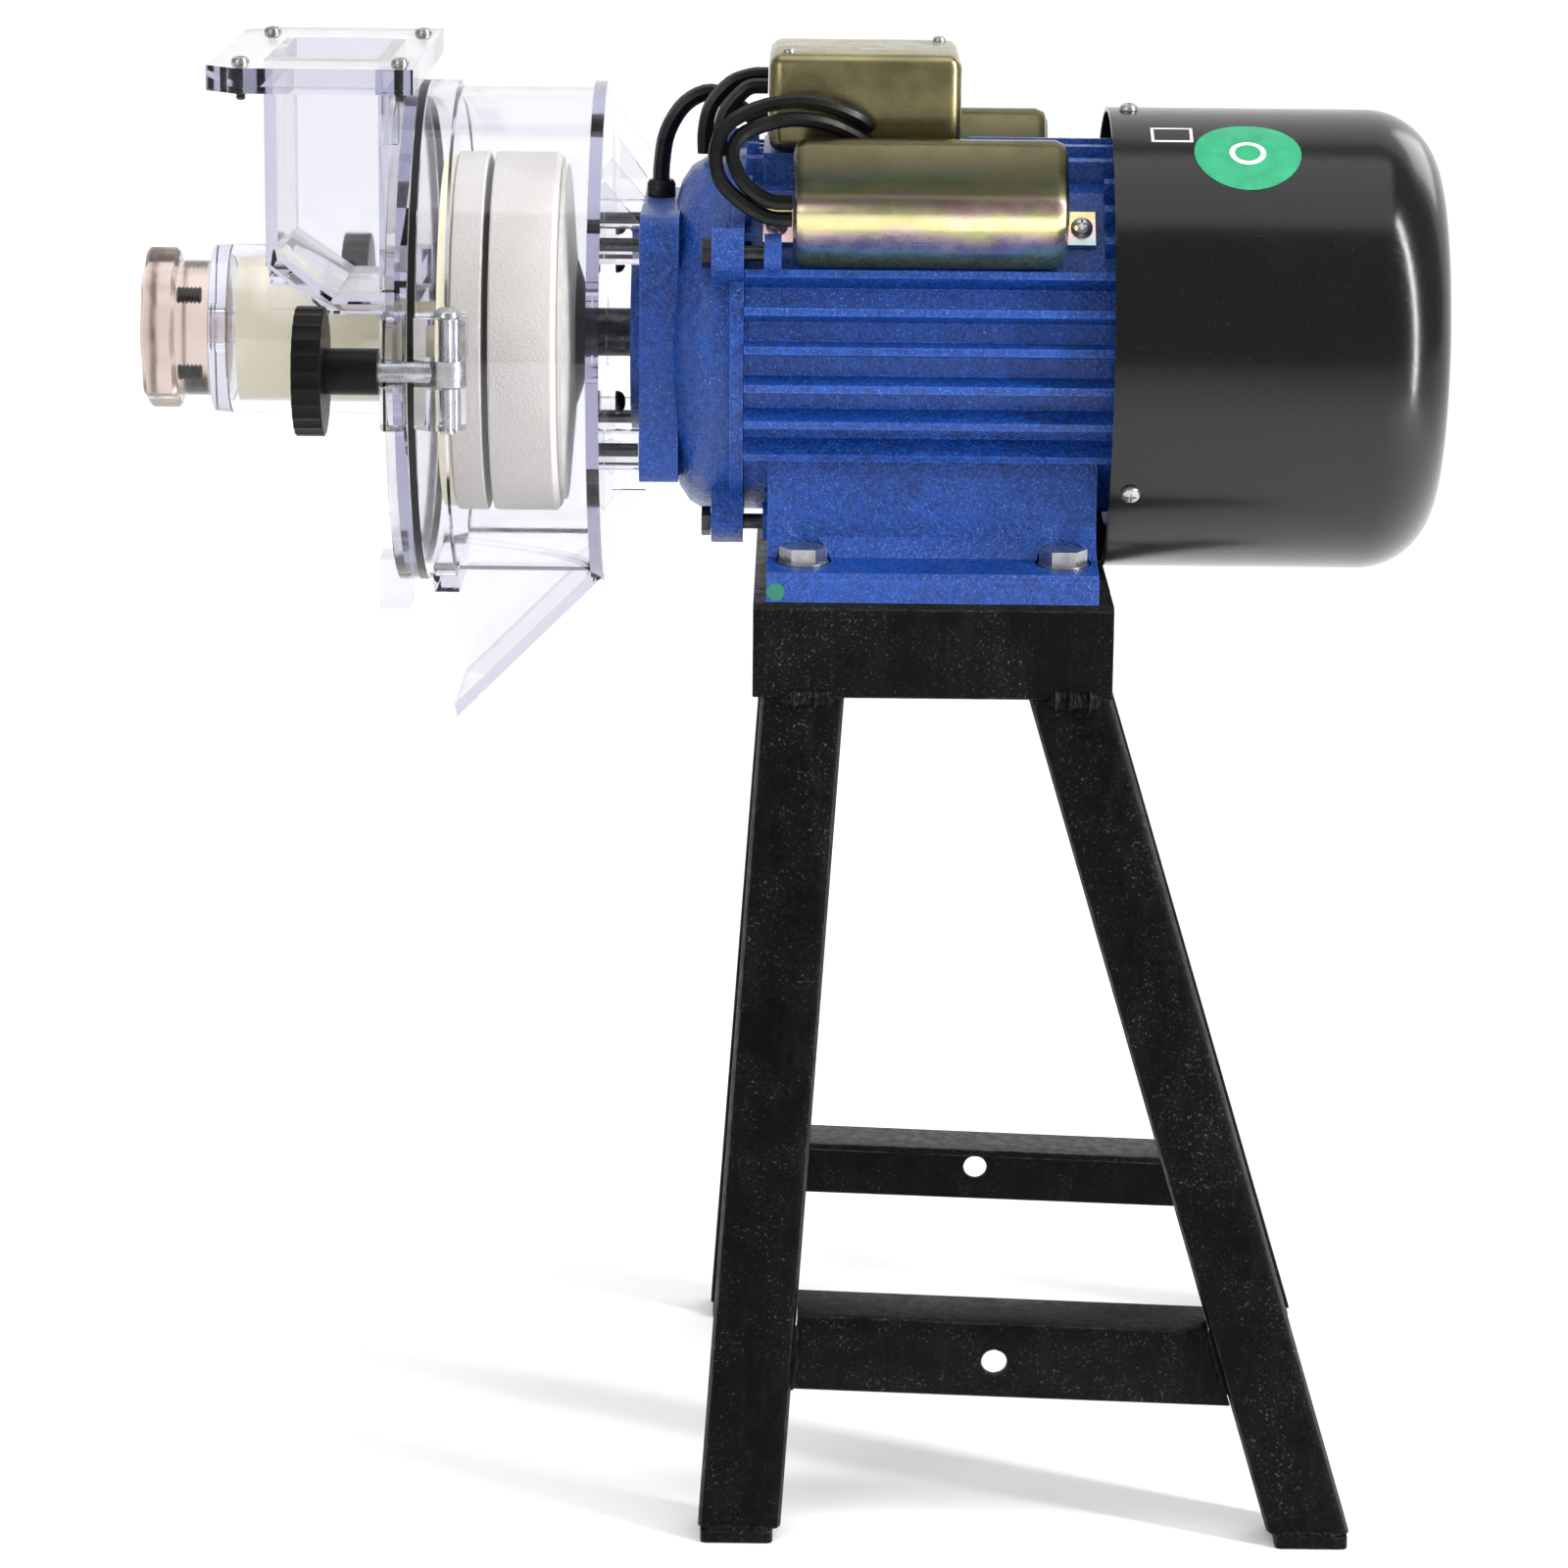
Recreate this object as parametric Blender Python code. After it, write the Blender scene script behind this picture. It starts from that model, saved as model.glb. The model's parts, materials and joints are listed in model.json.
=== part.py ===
"""Electric stone mill for wet and dry grain: clear milling head, small flanged motor, welded stand.

All sizes are millimetres until mesh data is made, which is metres. X runs along the motor shaft, from the
adjusting knob (-X) to the fan cover (+X); +Z is up. -Y is the near side. Heights are measured from a datum
DATUM_Z above the floor, and every piece is raised by that much, so the finished machine stands on z = 0.
"""

import math

import bmesh
import bpy
from mathutils import Vector

MM = 0.001
WELD = 5e-6             # metres
CENTRE_X = 3.0          # moves the whole machine so that its box is centred on the origin
DATUM_Z = 25.0          # from the floor up to the datum
PLACE = (CENTRE_X * MM, 0.0, DATUM_Z * MM)

# heights and the shaft
AXIS_Z = 425.0          # shaft height
RAIL_TOP = 334.7        # top of the stand, under the motor feet
FOOT_BASE = 335.0       # underside of the motor feet, 90 below the shaft
SHAFT_R = 9.5
GAP = 0.3

# stand
RAIL_Y = 92.0           # outer face of the long rails
RAIL_H = 36.5
RAIL_X = (-16.0, 122.0)
LEG_W, LEG_D, LEG_T = 32.0, 22.0, 2.5
LEG_TOP_Y, LEG_FOOT_Y = 91.0, 146.0      # outer face of a leg at its two ends
LEG_FRONT_X = (3.3, -18.0)               # leg centre at the top and at the bottom
LEG_REAR_X = (106.0, 202.5)
LEG_BASE_Z = 5.3 - DATUM_Z
BRACE_Y = 127.4
BRACE_TOP_Z = (61.8, 56.6)               # top of a brace at the front and at the rear
BRACE_H, BRACE_T = 30.5, 3.0
BRACE_HOLE = (80.2, 43.1)                # x and z of the hole in each brace
FOOT_LONG, FOOT_WIDE = 28.0, 29.0

# motor
HOUSING_X = (-20.4, 121.7)
HOUSING_R, FIN_R, BORE_R = 69.0, 78.0, 62.0
FIN_COUNT = 33
LUG_R = 79.0
LUG_ANGLES = (31.0, 121.0, -59.0, -149.0)
FOOT_BOLT_X, FOOT_BOLT_Y = (3.0, 103.0), 70.0
COVER_R = 90.0
FAN_COVER_X = (120.0, 250.0)
TIN_PLANE_R = 67.2                       # flat on the housing under a capacitor cover
TIN_X, TIN_LONG, TIN_WIDE, TIN_HIGH = -2.2, 104.4, 42.0, 35.2
TERMINAL_BOX = (-12.0, 62.0, -35.0, 35.0, 500.0, 538.0)

# milling head
DRUM_R, DRUM_WALL_R, DRUM_BORE_R = 98.5, 96.0, 92.0
DRUM_X = (-144.0, -75.0)
STONE_R = 70.5
STONE_BORE_R = 28.0
BARREL_R, BARREL_BORE_R = 33.3, 28.7
INLET_TOP = 535.5
INLET_Y = 85.0
NECK_Y, NECK_WALL = 46.0, 4.5
PIN_X, PIN_Y = -131.0, 108.0
CLAMP_FACE = 26.0                        # from the pivot pin to the face that the clamp sleeve presses on


def weld(obj):
    """Joins the doubled points that Booleans leave."""
    step = obj.modifiers.new("weld", "WELD")
    step.merge_threshold = WELD


def paint(obj, name, colour, rough=0.5, metal=0.0, clear=False):
    if obj.modifiers:
        weld(obj)
    mat = bpy.data.materials.get(name)
    if mat is None:
        mat = bpy.data.materials.new(name)
        mat.use_nodes = True
        shader = mat.node_tree.nodes["Principled BSDF"]
        shader.inputs["Base Color"].default_value = (*colour, 1.0)
        shader.inputs["Roughness"].default_value = rough
        shader.inputs["Metallic"].default_value = metal
        if clear:
            shader.inputs["Transmission Weight"].default_value = 0.9
    obj.data.materials.clear()
    obj.data.materials.append(mat)


BLACK_PAINT = ("black paint", (0.012, 0.012, 0.013), 0.45)
BLUE_PAINT = ("blue paint", (0.012, 0.06, 0.36), 0.35)
GLOSS_BLACK = ("gloss black", (0.01, 0.01, 0.01), 0.2)
TIN = ("yellow tin", (0.45, 0.38, 0.14), 0.3, 1.0)
STEEL = ("steel", (0.55, 0.56, 0.58), 0.35, 1.0)
DARK_STEEL = ("dark steel", (0.08, 0.08, 0.085), 0.4, 1.0)
CLEAR = ("clear plastic", (0.86, 0.86, 0.95), 0.1, 0.0, True)
IVORY = ("ivory plastic", (0.83, 0.8, 0.66), 0.4)
STONE = ("stone", (0.72, 0.69, 0.63), 0.9)
KNOB_TINT = ("tinted clear plastic", (0.62, 0.45, 0.38), 0.15, 0.0, True)
BLACK_PLASTIC = ("black plastic", (0.012, 0.012, 0.012), 0.4)
RUBBER = ("black rubber", (0.01, 0.01, 0.01), 0.6)
COPPER = ("lacquered copper", (0.55, 0.2, 0.08), 0.35, 1.0)


def finish_mesh(name, bm, smooth=0.0):
    """A closed mesh in millimetres becomes an object in metres; smooth is the edge angle in degrees."""
    bmesh.ops.recalc_face_normals(bm, faces=bm.faces)
    for v in bm.verts:
        v.co *= MM
    data = bpy.data.meshes.new(name)
    bm.to_mesh(data)
    bm.free()
    obj = bpy.data.objects.new(name, data)
    bpy.context.scene.collection.objects.link(obj)
    obj.location = PLACE
    if smooth:
        data.shade_smooth()
        data.set_sharp_from_angle(angle=math.radians(smooth))
    return obj


def settle(obj, x=0.0, y=0.0, z=0.0):
    """Moves an object's origin to a point on its joint's axis, its shape staying where it is."""
    shift = Vector((x, y, z)) * MM
    for v in obj.data.vertices:
        v.co -= shift
    obj.location += shift
    return obj


def as_tool(obj):
    obj.hide_render = True
    obj.display_type = "WIRE"
    return obj


def boolean(obj, tools, operation):
    for tool in tools:
        as_tool(tool)
        step = obj.modifiers.new(operation.lower(), "BOOLEAN")
        step.operation = operation
        step.solver = "EXACT"
        step.object = tool
    return obj


def add(obj, *tools):
    return boolean(obj, tools, "UNION")


def cut(obj, *tools):
    return boolean(obj, tools, "DIFFERENCE")


def rings_to_mesh(name, rings, smooth=0.0):
    """Joins rings of points into a closed skin, capped at the first and the last ring."""
    bm = bmesh.new()
    made = [[bm.verts.new(p) for p in ring] for ring in rings]
    n = len(rings[0])
    for a, b in zip(made, made[1:]):
        for i in range(n):
            bm.faces.new((a[i], a[(i + 1) % n], b[(i + 1) % n], b[i]))
    bm.faces.new(made[0])
    bm.faces.new(list(reversed(made[-1])))
    return finish_mesh(name, bm, smooth)


def lathe(name, profile, centre=(0.0, 0.0, AXIS_Z), along="X", steps=40, smooth=30.0):
    """Turns a closed outline of (distance along the axis, radius) about an axis through centre."""
    bm = bmesh.new()
    cx, cy, cz = centre
    columns = []
    for d, r in profile:
        ring = []
        for i in range(steps if r > 1e-6 else 1):
            a = 2.0 * math.pi * i / steps
            u, v = r * math.cos(a), r * math.sin(a)
            if along == "X":
                point = (cx + d, cy + u, cz + v)
            elif along == "Y":
                point = (cx + u, cy + d, cz + v)
            else:
                point = (cx + u, cy + v, cz + d)
            ring.append(bm.verts.new(point))
        columns.append(ring)
    for j, a in enumerate(columns):
        b = columns[(j + 1) % len(columns)]
        if len(a) == 1 and len(b) == 1:
            continue
        for i in range(steps):
            k = (i + 1) % steps
            corners = [a[i % len(a)], a[k % len(a)], b[k % len(b)], b[i % len(b)]]
            unique = list(dict.fromkeys(corners))
            bm.faces.new(unique)
    return finish_mesh(name, bm, smooth)


def rod(name, a, b, r, centre, along="X", steps=24):
    """Round bar from a to b along an axis through centre."""
    cx, cy, cz = centre
    u, v, start = {"X": (cy, cz, cx), "Y": (cx, cz, cy), "Z": (cx, cy, cz)}[along]
    turn = [2.0 * math.pi * (i + 0.37) / steps for i in range(steps)]
    bar = prism(name, [(u + r * math.cos(t), v + r * math.sin(t)) for t in turn], along, start + a, start + b)
    bar.data.shade_smooth()
    bar.data.set_sharp_from_angle(angle=math.radians(40.0))
    return bar


def prism(name, outline, along, a, b):
    """Extrudes an outline; its pairs are (y, z) along X, (x, z) along Y and (x, y) along Z."""
    def place(p, d):
        return {"X": (d, p[0], p[1]), "Y": (p[0], d, p[1]), "Z": (p[0], p[1], d)}[along]
    return rings_to_mesh(name, [[place(p, a) for p in outline], [place(p, b) for p in outline]])


def box(name, x0, x1, y0, y1, z0, z1):
    return prism(name, [(x0, y0), (x1, y0), (x1, y1), (x0, y1)], "Z", z0, z1)


def bevel(obj, width, segments=2, angle=40.0):
    step = obj.modifiers.new("rounding", "BEVEL")
    step.width = width * MM
    step.segments = segments
    step.limit_method = "ANGLE"
    step.angle_limit = math.radians(angle)
    return obj


def polar(angle, r):
    """A point (y, z) around the shaft; 0 degrees points to the near side, 90 up."""
    a = math.radians(angle)
    return -r * math.cos(a), AXIS_Z + r * math.sin(a)


def rounded_rectangle(x0, x1, y0, y1, r, steps=4):
    points = []
    for cx, cy, start in ((x1 - r, y1 - r, 0), (x0 + r, y1 - r, 90), (x0 + r, y0 + r, 180),
                          (x1 - r, y0 + r, 270)):
        for i in range(steps + 1):
            a = math.radians(start + 90.0 * i / steps)
            points.append((cx + r * math.cos(a), cy + r * math.sin(a)))
    return points


def hexagon(across_flats, turn=0.0):
    r = across_flats / math.sqrt(3.0)
    return [(r * math.cos(math.radians(60 * i + turn)),
             r * math.sin(math.radians(60 * i + turn))) for i in range(6)]


# ---------------------------------------------------------------- stand


def side_rail(name, side):
    """Angle section: one flange hangs down outside, the other lies flat under the motor feet."""
    t, outer, inner = 3.0, side * RAIL_Y, side * (RAIL_Y - 30.0)
    bend = side * (RAIL_Y - 2.0)
    low = RAIL_TOP - RAIL_H
    outline = [(outer, low), (outer, RAIL_TOP - 2.0), (bend, RAIL_TOP), (inner, RAIL_TOP),
               (inner, RAIL_TOP - t), (side * (RAIL_Y - t), RAIL_TOP - t), (side * (RAIL_Y - t), low)]
    rail = prism(name, outline, "X", *RAIL_X)
    for x in FOOT_BOLT_X:
        cut(rail, rod(name + "_hole", 325.0, 340.0, 5.3, (x, side * FOOT_BOLT_Y, 0.0), "Z", 16))
    paint(rail, *BLACK_PAINT)
    return rail


def end_rail(name, x, inward):
    """The short rails tuck between the long ones, flush with their tops."""
    t, half_low, half_top = 3.0, RAIL_Y - 3.0 - GAP, RAIL_Y - 30.0 - GAP
    low = RAIL_TOP - RAIL_H
    web_x = sorted((x, x + inward * t))
    web = [(-half_low, low), (half_low, low), (half_low, RAIL_TOP - t - GAP), (half_top, RAIL_TOP - t - GAP),
           (half_top, RAIL_TOP), (-half_top, RAIL_TOP), (-half_top, RAIL_TOP - t - GAP),
           (-half_low, RAIL_TOP - t - GAP)]
    rail = prism(name, web, "X", *web_x)
    flange_x = sorted((x + inward * 1.0, x + inward * 30.0))
    add(rail, box(name + "_flange", *flange_x, -half_top, half_top, RAIL_TOP - t, RAIL_TOP))
    paint(rail, *BLACK_PAINT)
    return rail


def leg_share(z):
    """How far down a leg the height z is: 0 at its top, 1 at its foot."""
    top = RAIL_TOP - RAIL_H - GAP
    return (top - z) / (top - LEG_BASE_Z)


def leg_x(ends, z):
    return ends[0] + (ends[1] - ends[0]) * leg_share(z)


def leg_y(z):
    return LEG_TOP_Y + (LEG_FOOT_Y - LEG_TOP_Y) * leg_share(z)


def leg(name, ends, side):
    """Folded channel, open to the inside of the stand, splayed both ways and cut level at both ends."""
    w, d, t, r = LEG_W / 2.0, LEG_D, LEG_T, 4.0
    half = [(-w, d), (-w, r), (-w + 0.3 * r, 0.3 * r), (-w + r, 0.0)]
    inner = [(-w + r, t), (-w + t + 0.5, t + 0.6), (-w + t, r), (-w + t, d)]
    outline = half + [(-x, y) for x, y in reversed(half)] + [(-x, y) for x, y in reversed(inner)] + inner
    rings = []
    for z in (RAIL_TOP - RAIL_H - GAP, LEG_BASE_Z):
        x, y = leg_x(ends, z), leg_y(z)
        rings.append([(x + dx, side * (y - dy), z) for dx, dy in outline])
    obj = rings_to_mesh(name, rings, smooth=30.0)
    paint(obj, *BLACK_PAINT)
    return obj


def foot_plate(name, ends, side):
    x = ends[1] + math.copysign(1.0, ends[1])
    near = LEG_FOOT_Y + 1.0
    outline = rounded_rectangle(x - FOOT_LONG / 2.0, x + FOOT_LONG / 2.0, -near, FOOT_WIDE - near, 2.0, 2)
    obj = prism(name, [(px, side * -py) for px, py in outline], "Z", -DATUM_Z, LEG_BASE_Z - GAP)
    paint(obj, *BLACK_PAINT)
    return obj


def brace(name, side):
    """Angle section between a front and a rear leg, cut to their slopes, with a hole at mid length."""
    t, h = BRACE_T, BRACE_H
    outline = [(0.0, -h), (0.0, -3.0), (1.0, -1.0), (3.0, 0.0), (30.0, 0.0), (30.0, -t), (t + 1.0, -t),
               (t, -t - 1.0), (t, -h)]
    rings = []
    for ends, edge, z_top in ((LEG_FRONT_X, 1.0, BRACE_TOP_Z[0]), (LEG_REAR_X, -1.0, BRACE_TOP_Z[1])):
        ring = []
        for inward, dz in outline:
            z = z_top + dz
            ring.append((leg_x(ends, z) + edge * (LEG_W / 2.0 + 0.4), side * (BRACE_Y - inward), z))
        rings.append(ring)
    obj = rings_to_mesh(name, rings)
    hole = (BRACE_HOLE[0], side * BRACE_Y, BRACE_HOLE[1])
    cut(obj, rod(name + "_hole", -10.0, 10.0, 5.0, hole, "Y", 20))
    paint(obj, *BLACK_PAINT)
    return obj


def build_stand():
    for label, side in (("near", -1.0), ("far", 1.0)):
        side_rail("stand_rail_" + label, side)
        brace("brace_" + label, side)
        for end, ends in (("front", LEG_FRONT_X), ("rear", LEG_REAR_X)):
            leg(f"leg_{end}_{label}", ends, side)
            foot_plate(f"foot_plate_{end}_{label}", ends, side)
    end_rail("stand_rail_front", RAIL_X[0], 1.0)
    end_rail("stand_rail_rear", RAIL_X[1], -1.0)


# ---------------------------------------------------------------- motor


def finned_outline():
    """The housing's outside: straight fins all round, but none below, where the feet are."""
    points = []
    step = 360.0 / FIN_COUNT
    for i in range(FIN_COUNT):
        middle = 3.6 + i * step
        below = 215.0 < middle % 360.0 < 325.0
        if below:
            points += [polar(middle - 2.0, HOUSING_R), polar(middle + 3.0, HOUSING_R)]
            continue
        points += [polar(middle - 2.4, HOUSING_R), polar(middle - 1.1, FIN_R), polar(middle + 1.1, FIN_R),
                   polar(middle + 2.4, HOUSING_R)]
    return points


def tin_frame(side, r, t):
    """(y, z) of a point r out from the shaft and t up along the slope of a capacitor cover."""
    s = math.sqrt(0.5)
    return side * (r * s - t * s), AXIS_Z + r * s + t * s


def housing():
    x0, x1 = HOUSING_X
    body = prism("motor_housing", finned_outline(), "X", x0, x1)
    # flat seat for the terminal box
    add(body, box("terminal_seat", -14.0, 64.0, -31.0, 31.0, 480.0, 499.7))
    cut(body, box("terminal_clearance", -16.0, 66.0, -38.5, 38.5, 499.7, 520.0))
    for side in (-1.0, 1.0):
        outline = [tin_frame(side, r, t) for r, t in ((TIN_PLANE_R, -23.0), (TIN_PLANE_R, 23.0), (90.0, 23.0),
                                                      (90.0, -23.0))]
        cut(body, prism("capacitor_clearance", outline, "X", -18.0, 117.0))
        foot = [(side * 90.0, FOOT_BASE), (side * 90.0, FOOT_BASE + 8.5), (side * 87.5, FOOT_BASE + 11.0),
                (side * 66.0, FOOT_BASE + 13.0), (side * 60.0, FOOT_BASE + 20.0),
                (side * 57.0, FOOT_BASE + 52.0), (side * 45.0, FOOT_BASE + 52.0), (side * 45.0, FOOT_BASE)]
        add(body, prism("motor_foot", foot, "X", -11.0, 116.0))
        for x in FOOT_BOLT_X:
            centre = (x, side * FOOT_BOLT_Y, 0.0)
            cut(body, rod("foot_hole", FOOT_BASE - 5.0, FOOT_BASE + 20.0, 5.3, centre, "Z", 16),
                rod("spot_face", FOOT_BASE + 10.0, FOOT_BASE + 32.0, 11.0, centre, "Z", 20))
    for angle in LUG_ANGLES:
        y, z = polar(angle, LUG_R)
        inner = polar(angle, LUG_R - 12.0)
        add(body, rod("lug", -13.0, -6.5, 7.5, (0.0, y, z), "X", 20),
            box("lug_root", -12.6, -6.8, inner[0] - 5.0, inner[0] + 5.0, inner[1] - 5.0, inner[1] + 5.0))
    cut(body, rod("stator_bore", x0 - 5.0, x1 + 5.0, BORE_R, (0.0, 0.0, AXIS_Z), "X", 32))
    for angle in LUG_ANGLES:
        y, z = polar(angle, LUG_R)
        cut(body, rod("bolt_hole", -25.0, 0.0, 3.3, (0.0, y, z), "X", 12))
    paint(body, *BLUE_PAINT)


def front_shield():
    """Flange the mill bolts to, and the bell behind it that carries the front bearing."""
    square = rounded_rectangle(-52.0, 52.0, AXIS_Z - 52.0, AXIS_Z + 52.0, 7.0, 3)
    body = prism("front_end_shield", square, "X", -61.0, -46.0)
    bell = [(-48.0, 40.0), (-48.0, 52.0), (-46.0, 60.0), (-42.0, 66.0), (-36.0, 69.5), (-26.5, 69.5),
            (-26.0, 72.5), (-20.7, 72.5), (-20.7, 61.5), (-38.0, 60.0), (-40.0, 56.0), (-40.0, 40.0)]
    add(body, lathe("bell", bell, steps=40), rod("spigot", -65.0, -60.0, 38.0, (0, 0, AXIS_Z), "X", 32))
    for angle in LUG_ANGLES:
        y, z = polar(angle, LUG_R - 5.0)
        ear = rounded_rectangle(-9.0, 9.0, -9.5, 12.0, 4.0, 2)
        turn = math.radians(angle)
        outline = [(y - v * math.cos(turn) + u * math.sin(turn), z + v * math.sin(turn) + u * math.cos(turn))
                   for u, v in ear]
        add(body, prism("ear", outline, "X", -33.0, -20.7))
    cut(body, rod("bearing_seat", -52.0, -30.0, 23.5, (0, 0, AXIS_Z), "X", 32),
        rod("shaft_hole", -70.0, -30.0, 11.5, (0, 0, AXIS_Z), "X", 24))
    for angle in LUG_ANGLES:
        y, z = polar(angle, LUG_R)
        cut(body, rod("bolt_hole", -40.0, -15.0, 3.3, (0.0, y, z), "X", 12))
    paint(body, *BLUE_PAINT)


def bolt(name, head_across, head, shank, r, centre, along="X", washer=0.0):
    """Hexagon head bolt; head and shank are (start, end) along the axis, washer the radius of its flange."""
    turn = 30.0 if along == "X" else 0.0
    outline = hexagon(head_across, turn)
    cx, cy, cz = centre
    if along == "X":
        body = prism(name, [(cy + u, cz + v) for u, v in outline], "X", cx + head[0], cx + head[1])
    else:
        body = prism(name, [(cx + u, cy + v) for u, v in outline], "Z", cz + head[0], cz + head[1])
    base = head[0] if abs(head[0] - shank[0]) < abs(head[1] - shank[0]) else head[1]
    reach = 0.5 if head[1] > head[0] and base == head[0] else -0.5
    add(body, rod(name + "_shank", base + reach, shank[1], r, centre, along, 14))
    if washer:
        add(body, rod(name + "_washer", base, base + 4.0 * reach, washer, centre, along, 24))
    return body


def motor_fasteners():
    names = ("upper_near", "upper_far", "lower_near", "lower_far")
    for label, angle in zip(names, LUG_ANGLES):
        y, z = polar(angle, LUG_R)
        obj = bolt("end_shield_bolt_" + label, 10.0, (-36.8, -33.3), (-33.3, -7.0), 3.0, (0.0, y, z))
        paint(obj, *DARK_STEEL)
    for x, end in zip(FOOT_BOLT_X, ("front", "rear")):
        for side, label in ((-1.0, "near"), (1.0, "far")):
            obj = bolt(f"foot_bolt_{end}_{label}", 16.0, (345.3, 353.0), (345.3, 323.0), 4.9,
                       (x, side * FOOT_BOLT_Y, 0.0), "Z", 10.0)
            paint(obj, *STEEL)


def rear_shield():
    body = lathe("rear_end_shield", [(122.0, 30.0), (122.0, 74.0), (128.0, 74.0), (131.0, 70.0),
                                     (134.0, 40.0), (146.0, 30.0), (146.0, 12.0), (142.0, 12.0),
                                     (142.0, 23.5), (126.0, 23.5), (126.0, 30.0)], steps=28)
    paint(body, *BLUE_PAINT)


def fan_cover():
    x0, x1 = FAN_COVER_X
    r, t = COVER_R, 1.6
    curve = [(x1 - 29.0 + 29.0 * math.sin(a), r - 29.0 + 29.0 * math.cos(a))
             for a in (math.radians(d) for d in (0.0, 22.5, 45.0, 67.5, 90.0))]
    inside = [(x1 - 29.0 + (29.0 - t) * math.sin(a), r - 29.0 + (29.0 - t) * math.cos(a))
              for a in (math.radians(d) for d in (90.0, 67.5, 45.0, 22.5, 0.0))]
    profile = [(x0, r - t), (x0, r)] + curve + [(x1, 0.0), (x1 - t, 0.0)] + inside
    body = lathe("fan_cover", profile, steps=44)
    # air slots in the end face
    for i in range(12):
        a = math.radians(30.0 * i + 15.0)
        c, s = math.cos(a), math.sin(a)
        slot = [(18.0, -2.6), (54.0, -2.6), (54.0, 2.6), (18.0, 2.6)]
        outline = [(u * c - v * s, AXIS_Z + u * s + v * c) for u, v in slot]
        cut(body, prism("air_slot", outline, "X", x1 - 6.0, x1 + 4.0))
    paint(body, *GLOSS_BLACK)


def rotor_and_fan():
    shaft = lathe("motor_shaft", [(-129.5, 0.0), (-129.5, 6.0), (-121.5, 6.0), (-121.5, 7.5), (-86.4, 7.5),
                                  (-86.4, SHAFT_R), (-35.0, SHAFT_R), (-35.0, 12.0), (120.0, 12.0),
                                  (120.0, 9.7), (186.0, 9.7), (186.0, 0.0)], steps=24)
    paint(settle(shaft, 0.0, 0.0, AXIS_Z), *DARK_STEEL)
    core = lathe("rotor_core", [(8.0, 12.4), (8.0, 38.0), (4.0, 38.0), (4.0, 44.0), (96.0, 44.0),
                                (96.0, 38.0), (92.0, 38.0), (92.0, 12.4)], steps=20)
    paint(settle(core, 0.0, 0.0, AXIS_Z), *STEEL)
    fan = lathe("cooling_fan", [(160.0, 10.1), (160.0, 20.0), (176.0, 20.0), (176.0, 68.0), (179.0, 68.0),
                                (179.0, 14.0), (184.0, 14.0), (184.0, 10.1)], steps=20)
    for i in range(7):
        a = 2.0 * math.pi * i / 7.0
        c, s = math.cos(a), math.sin(a)
        outline = [(u * c - v * s, AXIS_Z + u * s + v * c) for u, v in ((19.0, -1.5), (66.0, -1.5),
                                                                        (66.0, 1.5), (19.0, 1.5))]
        add(fan, prism("blade", outline, "X", 161.0, 177.0))
    paint(settle(fan, 0.0, 0.0, AXIS_Z), *BLACK_PLASTIC)


def stator_and_bearings():
    # laminated ring with the end turns of its windings standing out at both ends
    stator = lathe("stator_core", [(-9.0, 50.0), (-6.0, 47.0), (8.0, 47.0), (8.0, 44.7), (92.0, 44.7),
                                   (92.0, 47.0), (106.0, 47.0), (109.0, 50.0), (109.0, 57.0), (106.0, 59.0),
                                   (92.0, 59.0), (92.0, 61.7), (8.0, 61.7), (8.0, 59.0), (-6.0, 59.0),
                                   (-9.0, 57.0)], steps=28)
    paint(stator, *COPPER)
    for name, a, b, inner in (("front_bearing", -51.6, -39.6, SHAFT_R), ("rear_bearing", 126.4, 138.4, 9.7)):
        ring = lathe(name, [(a, inner + GAP), (a, 23.2), (b, 23.2), (b, inner + GAP)], steps=32)
        paint(ring, *STEEL)


def terminal_box():
    x0, x1, y0, y1, z0, z1 = TERMINAL_BOX
    body = bevel(box("terminal_box", x0, x1, y0, y1, z0, z1), 5.0, 3)
    cut(body, box("terminal_inside", x0 + 3.0, x1 - 3.0, y0 + 3.0, y1 - 3.0, z0 - 5.0, z1 - 3.0))
    paint(body, *TIN)


def capacitor_cover(name, side, x):
    """Folded tin trough with rounded ends and a tab at each end; the capacitor lies inside."""
    half, low, high = TIN_WIDE / 2.0, TIN_PLANE_R + GAP, TIN_PLANE_R + GAP + TIN_HIGH
    r = 9.0
    profile = [(-half, low)]
    profile += [(-half + r - r * math.cos(a), high - r + r * math.sin(a)) for a in
                (math.radians(d) for d in (0, 30, 60, 90))]
    profile += [(half - r + r * math.sin(a), high - r + r * math.cos(a)) for a in
                (math.radians(d) for d in (0, 30, 60, 90))]
    profile += [(half, low)]
    body = prism(name, [tin_frame(side, rr, t) for t, rr in profile], "X", x, x + TIN_LONG)
    bevel(body, 5.0, 2, 60.0)
    inside = [tin_frame(side, rr, t) for t, rr in ((-half + 2.0, low - 2.0), (-half + 2.0, high - 8.0),
                                                   (-half + 8.0, high - 2.0), (half - 8.0, high - 2.0),
                                                   (half - 2.0, high - 8.0), (half - 2.0, low - 2.0))]
    cut(body, prism(name + "_inside", inside, "X", x + 2.0, x + TIN_LONG - 2.0))
    for a, b in ((x - 11.5, x + 3.0), (x + TIN_LONG - 3.0, x + TIN_LONG + 11.5)):
        tab = [tin_frame(side, rr, t) for t, rr in ((-8.0, low), (-8.0, low + 1.8), (8.0, low + 1.8),
                                                    (8.0, low))]
        add(body, prism(name + "_tab", tab, "X", a, b))
    paint(body, *TIN)


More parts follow.
